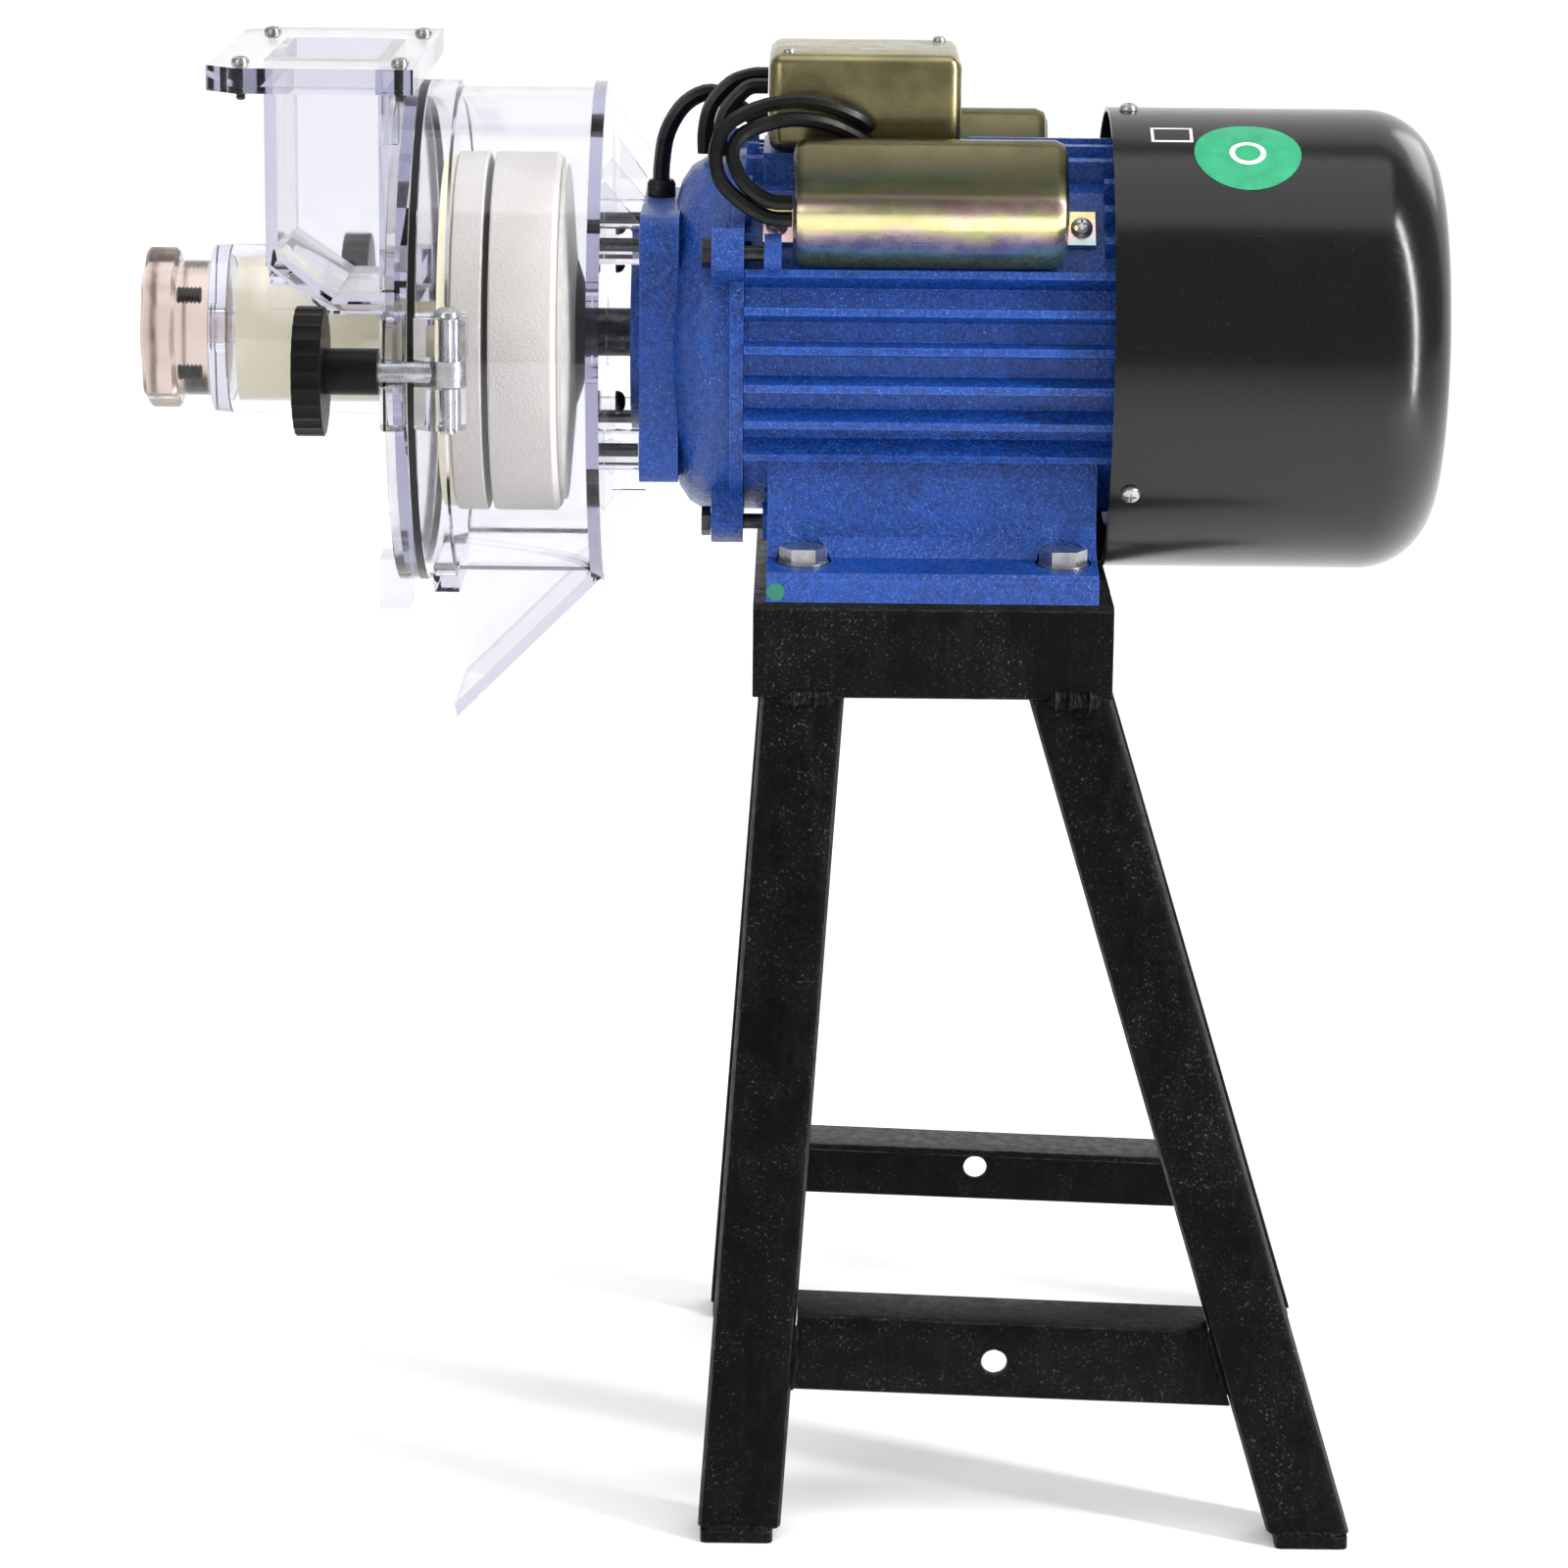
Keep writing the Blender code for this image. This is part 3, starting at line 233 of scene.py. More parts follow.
def tin():
    """Yellow passivated zinc sheet: gold and olive; low on the covers, bands of pink, green and teal; above
    the bands, a painted shade near black that fades into the olive higher up.
    """
    t = Tree("yellow_tin")
    height = t.new("SeparateXYZ", Vector=t.place).outputs["Z"]
    wander = t.noise(17.0, 4.0, 0.6, t.stretched(0.7, 1.6, 1.6), 1.2)
    film = t.maths("ADD", t.maths("MULTIPLY", height, 31.0), t.maths("MULTIPLY", wander, 0.9))
    film = t.maths("FRACT", film)
    bands = t.ramp(film, (0.0, (0.80, 0.70, 0.32)), (0.16, (0.88, 0.82, 0.48)), (0.30, (0.92, 0.62, 0.62)),
                   (0.43, (0.92, 0.80, 0.42)), (0.56, (0.45, 0.66, 0.38)), (0.69, (0.42, 0.62, 0.64)),
                   (0.82, (0.72, 0.52, 0.56)), (1.0, (0.80, 0.70, 0.32)))
    plain = t.ramp(t.noise(30.0, 5.0, 0.65), (0.3, (0.20, 0.18, 0.09)), (0.75, (0.36, 0.32, 0.16)))
    # painted shade: the plain tin darkened nearly to black
    deep = t.mix(0.95, plain, (0.012, 0.015, 0.008))
    # painted shade just above the bands, fading into the plain tin higher up
    shade = t.mix(t.ramp(height, (0.520, 0.0), (0.545, 1.0)), deep, plain)
    where = t.ramp(height, (0.500, 1.0), (0.5075, 0.9), (0.5135, 0.05), (0.535, 0.0))
    colour = t.mix(where, shade, bands)
    stain = t.ramp(t.noise(75.0, 5.0, 0.7), (0.58, 0.0), (0.8, 1.0))
    colour = t.mix(t.maths("MULTIPLY", stain, 0.35), colour, (0.13, 0.11, 0.06))
    t.set(Base_Color=colour, Roughness=t.ramp(t.noise(95.0, 5.0, 0.6), (0.3, 0.20), (0.8, 0.40)))
    t.shader.inputs["Metallic"].default_value = 0.95
    scratch = t.noise(300.0, 2.0, 0.6, t.stretched(0.12, 2.0, 2.0))
    t.bump(scratch, 0.10, 0.0003, t.bump(t.noise(28.0, 2.0, 0.5), 0.2, 0.001))
    return t.material


def steel(name, dark, light, low, high, stretch=(1.0, 1.0, 1.0)):
    """Bare or plated steel: tone patches, fine lay marks, brighter worn edges."""
    t = Tree(name)
    grain = t.noise(700.0, 3.0, 0.6, t.stretched(*stretch))
    colour = t.ramp(t.noise(140.0, 4.0, 0.65), (0.3, dark), (0.75, light))
    worn = tuple(min(1.0, v * 1.7) for v in light)
    colour = t.mix(t.maths("MULTIPLY", t.edges(0.5 * MM), 0.5), colour, worn)
    t.set(Base_Color=colour, Roughness=t.ramp(grain, (0.3, low), (0.8, high)))
    t.shader.inputs["Metallic"].default_value = 0.95
    t.bump(grain, 0.15, 0.0002)
    return t.material


def plastic(name, dark, light, low, high, grain=900.0, depth=0.12, under=0.0, sheen=0.5):
    """Moulded plastic or rubber: slight tone drift, fine surface grain, rubbed edges."""
    t = Tree(name)
    colour = t.ramp(t.noise(45.0, 4.0, 0.6), (0.3, dark), (0.75, light))
    lifted = tuple(min(1.0, v * 1.25 + 0.01) for v in light)
    colour = t.mix(t.maths("MULTIPLY", t.edges(0.5 * MM), 0.4), colour, lifted)
    t.set(Base_Color=colour, Roughness=t.ramp(t.noise(160.0, 4.0, 0.6), (0.3, low), (0.8, high)))
    t.shader.inputs["Specular IOR Level"].default_value = sheen
    if under:
        t.shader.inputs["Subsurface Weight"].default_value = under
        t.shader.inputs["Subsurface Radius"].default_value = (0.004, 0.003, 0.002)
    t.bump(t.noise(grain, 3.0, 0.6), depth, 0.0003)
    return t.material


def clear(name, tint, rough, shade, depth_tint, density):
    """Clear moulded plastic: lamps reach behind it, thick runs are darker, scuffs break the gloss."""
    t = Tree(name)
    tone = t.mix(t.noise(22.0, 3.0, 0.5), tint, tuple(v * 0.985 for v in tint))
    scuff = t.noise(150.0, 5.0, 0.7, t.stretched(1.0, 1.0, 0.3))
    t.set(Base_Color=tone, Roughness=t.ramp(scuff, (0.45, rough), (0.85, rough + 0.12)))
    t.shader.inputs["Transmission Weight"].default_value = 1.0
    t.shader.inputs["IOR"].default_value = PLASTIC_IOR
    t.bump(t.noise(26.0, 2.0, 0.5), 0.05, 0.0006)
    pane, path = t.new("BsdfTransparent", Color=shade), t.new("LightPath")
    both = t.nodes.new("ShaderNodeMixShader")
    t.put(both.inputs["Fac"], path.outputs["Is Shadow Ray"])
    t.links.new(t.shader.outputs[0], both.inputs[1])
    t.links.new(pane.outputs[0], both.inputs[2])
    t.links.new(both.outputs[0], t.output.inputs["Surface"])
    inside = t.new("VolumeAbsorption", Color=depth_tint, Density=density)
    t.links.new(inside.outputs[0], t.output.inputs["Volume"])
    return t.material


def stone():
    """Bonded abrasive: off-white grit with open pores, darker specks and uneven tone."""
    t = Tree("grinding_stone")
    grit = t.cells(900.0)
    speck = t.ramp(t.noise(700.0, 2.0, 0.7), (0.62, 0.0), (0.74, 1.0))
    patch = t.ramp(t.noise(24.0, 5.0, 0.6), (0.3, 0.0), (0.75, 1.0))
    pit = t.ramp(t.noise(110.0, 2.0, 0.6), (0.70, 0.0), (0.76, 1.0))
    colour = t.mix(patch, (0.53, 0.50, 0.44), (0.62, 0.60, 0.545))
    colour = t.mix(t.maths("MULTIPLY", speck, 0.35), colour, (0.48, 0.45, 0.40))
    colour = t.mix(t.maths("MULTIPLY", pit, 0.6), colour, (0.42, 0.38, 0.32))
    t.set(Base_Color=colour, Roughness=t.ramp(grit, (0.0, 0.78), (0.8, 0.95)))
    fine = t.bump(grit, 0.35, 0.0004)
    t.bump(t.maths("SUBTRACT", t.noise(120.0, 4.0, 0.6), t.maths("MULTIPLY", pit, 0.5)), 0.3, 0.0006, fine)
    return t.material


BLACK = ((0.003, 0.003, 0.003), (0.007, 0.007, 0.007))
IVORY = ((0.91, 0.84, 0.56), (0.95, 0.89, 0.64))
CLEAR_TINT, CLEAR_SHADE, CLEAR_DEPTH = (0.945, 0.945, 0.975), (0.94, 0.94, 0.965), (0.68, 0.68, 0.78)
ROSE_TINT, ROSE_SHADE, ROSE_DEPTH = (0.93, 0.875, 0.85), (0.90, 0.83, 0.80), (0.86, 0.79, 0.75)
PLASTIC_IOR = 1.49

MATERIALS = {
    "stand_paint": stand_paint(),
    "motor_paint": motor_paint(),
    "gloss_black_paint": gloss_black_paint(),
    "yellow_tin": tin(),
    "bright_steel": steel("bright_steel", (0.36, 0.36, 0.37), (0.62, 0.62, 0.63), 0.22, 0.42),
    "dark_steel": steel("dark_steel", (0.035, 0.035, 0.04), (0.10, 0.10, 0.105), 0.25, 0.5),
    "laminations": steel("laminations", (0.20, 0.15, 0.11), (0.40, 0.30, 0.22), 0.35, 0.6, (6.0, 0.3, 0.3)),
    "black_plastic": plastic("black_plastic", *BLACK, 0.26, 0.42, sheen=0.12),
    "black_rubber": plastic("black_rubber", *BLACK, 0.24, 0.42, 500.0, 0.1, sheen=0.3),
    "ivory_plastic": plastic("ivory_plastic", *IVORY, 0.32, 0.5, 700.0, 0.08, 0.25),
    "clear_plastic": clear("clear_plastic", CLEAR_TINT, 0.02, CLEAR_SHADE, CLEAR_DEPTH, 17.0),
    "tinted_plastic": clear("tinted_plastic", ROSE_TINT, 0.16, ROSE_SHADE, ROSE_DEPTH, 36.0),
    "grinding_stone": stone(),
}


HUB_R = 28.0                        # radius of the backing plate's dark hub


def hub_and_rim():
    """The stone's backing: pale cast rim like the stone, blackened steel hub inside HUB_R."""
    t = Tree("backing_plate")
    parts = t.new("SeparateXYZ", Vector=t.place)
    up = t.maths("SUBTRACT", parts.outputs["Z"], AXIS_Z * MM)
    apart = t.maths("SQRT", t.maths("ADD", t.maths("MULTIPLY", up, up),
                                    t.maths("MULTIPLY", parts.outputs["Y"], parts.outputs["Y"])))
    rim = t.maths("GREATER_THAN", apart, HUB_R * MM)
    pale = t.ramp(t.noise(60.0, 5.0, 0.65), (0.3, (0.44, 0.42, 0.38)), (0.75, (0.58, 0.56, 0.51)))
    dark = t.ramp(t.noise(140.0, 4.0, 0.65), (0.3, (0.03, 0.03, 0.034)), (0.75, (0.09, 0.09, 0.095)))
    metal = t.maths("MULTIPLY", t.maths("SUBTRACT", 1.0, rim), 0.9)
    t.set(Base_Color=t.mix(rim, dark, pale), Metallic=metal,
          Roughness=t.ramp(t.noise(300.0, 4.0, 0.6), (0.3, 0.38), (0.8, 0.62)))
    t.bump(t.noise(420.0, 3.0, 0.65), 0.3, 0.0004)
    return t.material


BACKING = hub_and_rim()


# ----------------------------------------------------------- CAD nodes' finish

SPLIT_APART = 2e-5                  # metres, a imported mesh's corner points this close are one


def softener(name, degrees):
    """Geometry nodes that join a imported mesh's split corners and shade it smooth below an edge angle."""
    tree = bpy.data.node_groups.new(name, "GeometryNodeTree")
    for way in ("INPUT", "OUTPUT"):
        tree.interface.new_socket("Geometry", in_out=way, socket_type="NodeSocketGeometry")
    make = tree.nodes.new
    start, end = make("NodeGroupInput"), make("NodeGroupOutput")
    plain = make("GeometryNodeRemoveAttribute")
    plain.inputs["Name"].default_value = "custom_normal"
    merge = make("GeometryNodeMergeByDistance")
    merge.inputs["Distance"].default_value = SPLIT_APART
    faces, edges = make("GeometryNodeSetShadeSmooth"), make("GeometryNodeSetShadeSmooth")
    faces.domain, edges.domain = "FACE", "EDGE"
    angle, below = make("GeometryNodeInputMeshEdgeAngle"), make("FunctionNodeCompare")
    below.operation = "LESS_THAN"
    below.inputs[1].default_value = math.radians(degrees)
    link = tree.links.new
    link(start.outputs[0], plain.inputs[0])
    link(plain.outputs[0], merge.inputs[0])
    link(merge.outputs[0], faces.inputs[0])
    link(faces.outputs[0], edges.inputs[0])
    link(angle.outputs["Unsigned Angle"], below.inputs[0])
    link(below.outputs[0], edges.inputs["Shade Smooth"])
    link(edges.outputs[0], end.inputs[0])
    return tree


SOFT = softener("soften", 33.0)
EDGE_ROUND = {                      # edge radius of the nodes whose names start so, mm
    "stand_": 0.5, "leg_": 0.7, "foot_plate": 0.5, "brace_": 0.45, "clamp_knob": 0.5,
    "terminal_box": 0.35, "fixed_stone": 0.8, "rotating_stone": 0.8, "end_cap": 0.5, "stone_carrier": 0.3,
}


def finish_nodes():
    """Materials, smooth shading and rounded edges on the CAD nodes."""
    slots = {row["node"]: row["material_slot"] for row in frame["record"]["subparts"]}
    for name, obj in NODES.items():
        obj.data.materials.clear()
        obj.data.materials.append(BACKING if name == "stone_backing_plate" else MATERIALS[slots[name]])
        step = obj.modifiers.new("soften", "NODES")
        step.node_group = SOFT
        for start, width in EDGE_ROUND.items():
            if name.startswith(start):
                edge = obj.modifiers.new("round", "BEVEL")
                edge.width, edge.segments = width * MM, 2
                edge.limit_method, edge.angle_limit = "ANGLE", math.radians(50.0)
                edge.harden_normals = True


# ------------------------------------------------------------------ small parts

def mesh_object(name, bm):
    """An object in the scene from a bmesh, which is freed."""
    data = bpy.data.meshes.new(name)
    bm.to_mesh(data)
    bm.free()
    obj = bpy.data.objects.new(name, data)
    bpy.context.scene.collection.objects.link(obj)
    return obj


def piece(name, bm, material, body, slot=None, degrees=35.0):
    """A bmesh in millimetres in the row frame becomes a piece that rides on a body."""
    bmesh.ops.remove_doubles(bm, verts=bm.verts, dist=WELD_APART)
    bmesh.ops.recalc_face_normals(bm, faces=bm.faces)
    for v in bm.verts:
        v.co *= MM
    obj = mesh_object(name, bm)
    obj.data.shade_smooth()
    obj.data.set_sharp_from_angle(angle=math.radians(degrees))
    obj.data.materials.append(material if not isinstance(material, str) else MATERIALS[material])
    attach(obj, body)
    if slot or isinstance(material, str):
        slot or material
    return obj


def frame_of(axis):
    """An axis as a unit vector, and two more square to it."""
    axis = Vector(axis).normalized()
    side = axis.cross(Vector((0, 0, 1)) if abs(axis.z) < 0.9 else Vector((0, 1, 0))).normalized()
    return axis, side, axis.cross(side)


def skin(bm, rings):
    """Faces between closed rings of points."""
    for a, b in zip(rings, rings[1:]):
        for i in range(len(a)):
            j = (i + 1) % len(a)
            bm.faces.new((a[i], a[j], b[j], b[i]))


def turned(bm, base, axis, profile, steps=24):
    """Closed solid of revolution about axis from base; profile is (along, radius), end to end."""
    n, u, v = frame_of(axis)
    base = Vector(base)
    rings = []
    for along, radius in profile:
        rings.append([bm.verts.new(base + n * along + (u * math.cos(a) + v * math.sin(a)) * radius)
                      for a in (2 * math.pi * i / steps for i in range(steps))])
    skin(bm, rings)
    bm.faces.new(rings[0])
    bm.faces.new(rings[-1])


def slab(bm, corners, offset):
    """Closed plate from an outline of points, thickened along an offset."""
    low = [bm.verts.new(Vector(p)) for p in corners]
    high = [bm.verts.new(Vector(p) + Vector(offset)) for p in corners]
    bm.faces.new(low)
    bm.faces.new(high)
    for i in range(len(low)):
        j = (i + 1) % len(low)
        bm.faces.new((low[i], low[j], high[j], high[i]))


def cross_screw(name, at, axis, head, body):
    """Pan head with a cross recess; at is the middle of its flat side, head its diameter."""
    high, slot_half, slot_reach = head * 0.34, head * 0.055, head * 0.29
    n, u, v = frame_of(axis)
    at = Vector(at)
    bm = bmesh.new()
    dome = [(0.0, 0.5), (0.35, 0.5), (0.7, 0.44), (0.93, 0.3), (1.0, 0.16)]
    turned(bm, at, n, [(high * up, head * out) for up, out in dome])
    obj = piece(name, bm, "bright_steel", body)
    tool = bmesh.new()
    for a, b in ((u, v), (v, u)):
        low = at + n * (high * 0.5)
        square = ((-1, -1), (1, -1), (1, 1), (-1, 1))
        slab(tool, [low + a * (x * slot_reach) + b * (y * slot_half) for x, y in square], n * high)
    for p in tool.verts:
        p.co *= MM
    bmesh.ops.recalc_face_normals(tool, faces=tool.faces)
    cutter = mesh_object(name + "_recess", tool)
    step = obj.modifiers.new("recess", "BOOLEAN")
    step.operation, step.solver, step.use_self = "DIFFERENCE", "EXACT", True
    step.object = cutter
    bpy.context.view_layer.update()
    made = bpy.data.meshes.new_from_object(obj.evaluated_get(bpy.context.evaluated_depsgraph_get()))
    obj.modifiers.clear()
    obj.data = made
    made.set_sharp_from_angle(angle=math.radians(30.0))
    bpy.data.objects.remove(cutter)


# ---------------------------------------- where the small parts sit, millimetres

LEG_HALF = 16.0                             # half a leg's width along X
FRONT_LEG, REAR_LEG = box("leg_front_near"), box("leg_rear_near")
LEG_TOP = {"front": FRONT_LEG[1][0] - LEG_HALF, "rear": REAR_LEG[0][0] + LEG_HALF}     # x of a leg's middle
LEG_FOOT = {"front": FRONT_LEG[0][0] + LEG_HALF, "rear": REAR_LEG[1][0] - LEG_HALF}
LEG_TOP_Y, LEG_FOOT_Y = 91.0, -FRONT_LEG[0][1]      # a leg's outer face
LEG_FOOT_Z, RAIL_LOW = FRONT_LEG[0][2], box("stand_rail_near")[0][2]
BRACE_Y, BRACE_WELD_Z = -box("brace_near")[0][1], (56.0, 82.0)

COVER_LOW, COVER_HIGH = box("fan_cover")
COVER_X, COVER_R = (COVER_LOW[0], COVER_HIGH[0]), COVER_HIGH[1]
COVER_CORNER, COVER_WALL, COVER_BORE = 29.0, 1.6, 8.0
AIR_SLOT_R, AIR_SLOT_HALF, AIR_SLOTS = (18.0, 54.0), 2.6, 12
ROUND_LABEL_AT, PLATE_AT = (174.5, 60.0), (146.0, 68.0)     # x and degrees round the fan cover
DOT_AT = (-4.5, -90.02, 364.0)              # on the near face of the motor's foot

TAB_R, TAB_IN = 69.35, 5.3                  # tabs' distance from the shaft, screws' from a cover's ends
BOX_TOP = box("terminal_box")[1][2]

FLANGE_TOP, FLANGE_LOW = box("front_cover")[1][2], 551.2
FLANGE_SCREW_X, FLANGE_SCREW_Y = {"left": -209.0, "right": -148.5}, 62.0
CATCH_X, CATCH_Y, CATCH_LOW = -154.6, (66.0, 73.0), 531.0
KNOB_SCREW_X, KNOB_SCREW_R = -240.0, 19.0
DRUM_SCREW_X, DRUM_SCREW_APART = -78.6, 40.0
DOME_NUT_X, DOME_NUT_APART = {"drum": -68.9, "motor": -59.2}, 28.0
GUSSET_X, GUSSET_Y, GUSSET_THICK = (-68.6, -55.6), 38.0, 2.4
GUSSET_FOOT, GUSSET_HIGH = 56.0, (84.0, 66.0)               # above the shaft; high at the drum, at the motor


def leg_point(end, z):
    """(x of the middle, y of the outer face) of a leg at height z."""
    share = (RAIL_LOW - z) / (RAIL_LOW - LEG_FOOT_Z)
    x = LEG_TOP[end] + (LEG_FOOT[end] - LEG_TOP[end]) * share
    return x, LEG_TOP_Y + (LEG_FOOT_Y - LEG_TOP_Y) * share


def bead(name, start, end, radius, seed):
    """A weld bead: overlapping ripples of uneven size along a line, closed at both ends."""
    rng = random.Random(seed)
    start, end = Vector(start), Vector(end)
    n, u, v = frame_of(end - start)
    length = (end - start).length
    ripple, fade, row_apart, steps = 2.6, 4.0, 0.8, 12
    rows = max(8, int(length / row_apart))
    bm = bmesh.new()
    rings = []
    sizes = [rng.uniform(0.82, 1.18) for _ in range(int(length / ripple) + 3)]
    drift = [rng.uniform(-0.16, 0.16) for _ in sizes]
    for i in range(rows + 1):
        along = length * i / rows
        index = int(along / ripple)
        inside = along / ripple - index
        size = radius * sizes[index] * (0.80 + 0.28 * math.sin(math.pi * min(1.0, inside * 0.7 + 0.3)))
        size *= 0.35 + 0.65 * math.sin(math.pi / 2.0 * min(1.0, min(i, rows - i) / fade))
        centre = start + n * along + u * (drift[index] * radius)
        rings.append([bm.verts.new(centre + (u * math.cos(a) + v * math.sin(a)) * size)
                      for a in (2 * math.pi * k / steps for k in range(steps))])
    skin(bm, rings)
    bm.faces.new(rings[0])
    bm.faces.new(rings[-1])
    piece(name, bm, "stand_paint", "base", degrees=60.0)


def welds():
    """Beads at the top, the foot and the brace of every leg."""
    seed = 11
    top_size = {"front": 3.2, "rear": 3.9}
    for label, side in SIDES:
        for end, inward in (("front", 1.0), ("rear", -1.0)):
            x, y = leg_point(end, RAIL_LOW)
            y, z = side * (y + 0.4), RAIL_LOW - 0.4
            bead(f"weld_top_{end}_{label}", (x - 9.0, y, z), (x + 12.0, y, z), top_size[end], seed)
            x, y = leg_point(end, LEG_FOOT_Z)
            y, z = side * (y - 0.2), LEG_FOOT_Z + 0.2
            bead(f"weld_foot_{end}_{label}", (x - 11.0, y, z), (x + 11.0, y, z), 1.7, seed + 1)
            low, high = ((leg_point(end, z)[0] + inward * (LEG_HALF + 0.3), side * BRACE_Y, z)
                         for z in BRACE_WELD_Z)
            bead(f"weld_brace_{end}_{label}", low, high, 1.9, seed + 2)
            seed += 3


def on_cover(angle, out):
    """(y, z) at a small distance out from the fan cover, at degrees above the near horizontal."""
    a = math.radians(angle)
    return -(COVER_R + out) * math.cos(a), AXIS_Z + (COVER_R + out) * math.sin(a)


def patch(name, place, outline, material, low, high, steps):
    """Thin closed label that follows the fan cover at place; outline is (along X, along the arc)."""
    x, angle = place
    bm = bmesh.new()
    layers = []
    for out in (low, high):
        rows = []
        for k in range(steps + 1):
            share = k / steps
            rows.append([])
            for along, arc in outline:
                y, z = on_cover(angle + math.degrees(arc * share / COVER_R), out)
                rows[-1].append(bm.verts.new((x + along * share, y, z)))
        layers.append(rows)
    for rows in layers:
        skin(bm, rows)
    skin(bm, [rows[-1] for rows in layers])
    bmesh.ops.remove_doubles(bm, verts=bm.verts, dist=WELD_APART)
    bmesh.ops.dissolve_degenerate(bm, edges=bm.edges, dist=WELD_APART / 10.0)
    piece(name, bm, material, "base", slot="gloss_black_paint")


def label_paper(name, dark, light, rough):
    """Printed paper or film with a faint tone drift."""
    t = Tree(name)
    colour = t.ramp(t.noise(120.0, 4.0, 0.65), (0.3, dark), (0.75, light))
    t.set(Base_Color=colour, Roughness=t.ramp(t.noise(300.0, 3.0, 0.6), (0.3, rough), (0.8, rough + 0.15)))
    t.bump(t.noise(500.0, 2.0, 0.6), 0.08, 0.0002)
    return t.material


def circle(radius, steps=36):
    """Outline of a round label."""
    turns = (2 * math.pi * i / steps for i in range(steps))
    return [(radius * math.cos(a), radius * math.sin(a)) for a in turns]


def labels():
    """Plain labels on the fan cover and a small inspection dot on the motor's foot."""
    green = label_paper("green_label", (0.004, 0.24, 0.105), (0.012, 0.35, 0.16), 0.3)
    white = label_paper("white_print", (0.72, 0.74, 0.72), (0.84, 0.86, 0.84), 0.35)
    patch("round_label", ROUND_LABEL_AT, circle(20.5), green, 0.06, 0.22, 6)
    patch("round_label_disc", ROUND_LABEL_AT, circle(7.0), white, 0.20, 0.30, 3)
    patch("round_label_centre", ROUND_LABEL_AT, circle(5.0), green, 0.28, 0.38, 3)
    half_long, half_wide = 8.0, 5.5
    corners = ((-1, -1), (1, -1), (1, 1), (-1, 1))
    plate = [(x * half_long, arc * half_wide) for x, arc in corners]
    inner = [(x * 0.86, arc * 0.80) for x, arc in plate]
    patch("small_label_edge", PLATE_AT, plate, white, 0.06, 0.20, 4)
    patch("small_label", PLATE_AT, inner, "gloss_black_paint", 0.18, 0.28, 4)
    dull = label_paper("dull_green", (0.01, 0.13, 0.09), (0.02, 0.22, 0.14), 0.45)
    bm = bmesh.new()
    turned(bm, DOT_AT, (0, -1, 0), [(0.0, 3.4), (0.15, 3.4), (0.22, 3.1)], 28)
    piece("inspection_dot", bm, dull, "base", slot="motor_paint")


def sheet_screws():
    """Cross-head screws that hold the fan cover, the capacitor covers and the terminal box's lid."""
    for label, angle in (("near", -33.0), ("top", 87.0), ("far", 207.0)):
        a = math.radians(angle)
        at = (COVER_X[0] + 8.0, *on_cover(angle, 0.05))
        cross_screw(f"fan_cover_screw_{label}", at, (0.0, -math.cos(a), math.sin(a)), 7.4, "base")
    slope = math.sqrt(0.5)
    for label, side in SIDES:
        low, high = box("capacitor_cover_" + label)
        for end, x in (("front", low[0] + TAB_IN), ("rear", high[0] - TAB_IN)):
            at = (x, side * TAB_R * slope, AXIS_Z + TAB_R * slope)
            cross_screw(f"capacitor_screw_{end}_{label}", at, (0.0, side * slope, slope), 8.4, "base")
    for label, x, y in (("left", -1.5, -27.0), ("right", 57.5, 27.0)):
        cross_screw(f"terminal_box_screw_{label}", (x, y, BOX_TOP), UP, 5.2, "base")


def inlet_screws():
    """Hopper screws in the inlet flange, with the threads that show through it and stick out below."""
    length, turns, pitch = 14.0, 12, 1.1
    thread = [(-length, 1.2)]
    for k in range(turns):
        thread += [(0.4 - length + k * pitch, 1.5), (0.4 - length + (k + 0.5) * pitch, 2.0)]
    thread += [(-0.2, 1.7)]
    for label, side in SIDES:
        for end, x in FLANGE_SCREW_X.items():
            y = side * FLANGE_SCREW_Y
            cross_screw(f"inlet_screw_{end}_{label}", (x, y, FLANGE_TOP), UP, 7.0, "cover")
            bm = bmesh.new()
            turned(bm, (x, y, FLANGE_TOP - 0.1), UP, thread, 14)
            piece(f"inlet_thread_{end}_{label}", bm, "dark_steel", "cover")


def head_screws():
    """Four ribbed screws inside the adjusting knob and four through the drum's back wall."""
    turns, pitch = 6, 1.6
    ribbed = [(0.0, 2.6)]
    for k in range(turns):
        ribbed += [(0.8 + k * pitch, 3.3), (1.6 + k * pitch, 2.5)]
    for i in range(4):
        a = math.radians(45.0 + 90.0 * i)
        at = (KNOB_SCREW_X, KNOB_SCREW_R * math.cos(a), AXIS_Z + KNOB_SCREW_R * math.sin(a))
        bm = bmesh.new()
        turned(bm, at, ALONG_SHAFT, ribbed, 18)
        piece(f"knob_screw_{i}", bm, "dark_steel", "adjuster")
    screw = [(0.0, 1.5), (0.3, 3.3), (1.4, 4.2), (1.5, 4.2), (1.6, 2.4), (20.0, 2.4)]
    for i, (across, up) in enumerate(((-1, -1), (-1, 1), (1, -1), (1, 1))):
        at = (DRUM_SCREW_X, across * DRUM_SCREW_APART, AXIS_Z + up * DRUM_SCREW_APART)
        bm = bmesh.new()
        turned(bm, at, ALONG_SHAFT, screw, 20)
        piece(f"drum_screw_{i}", bm, "dark_steel", "base")


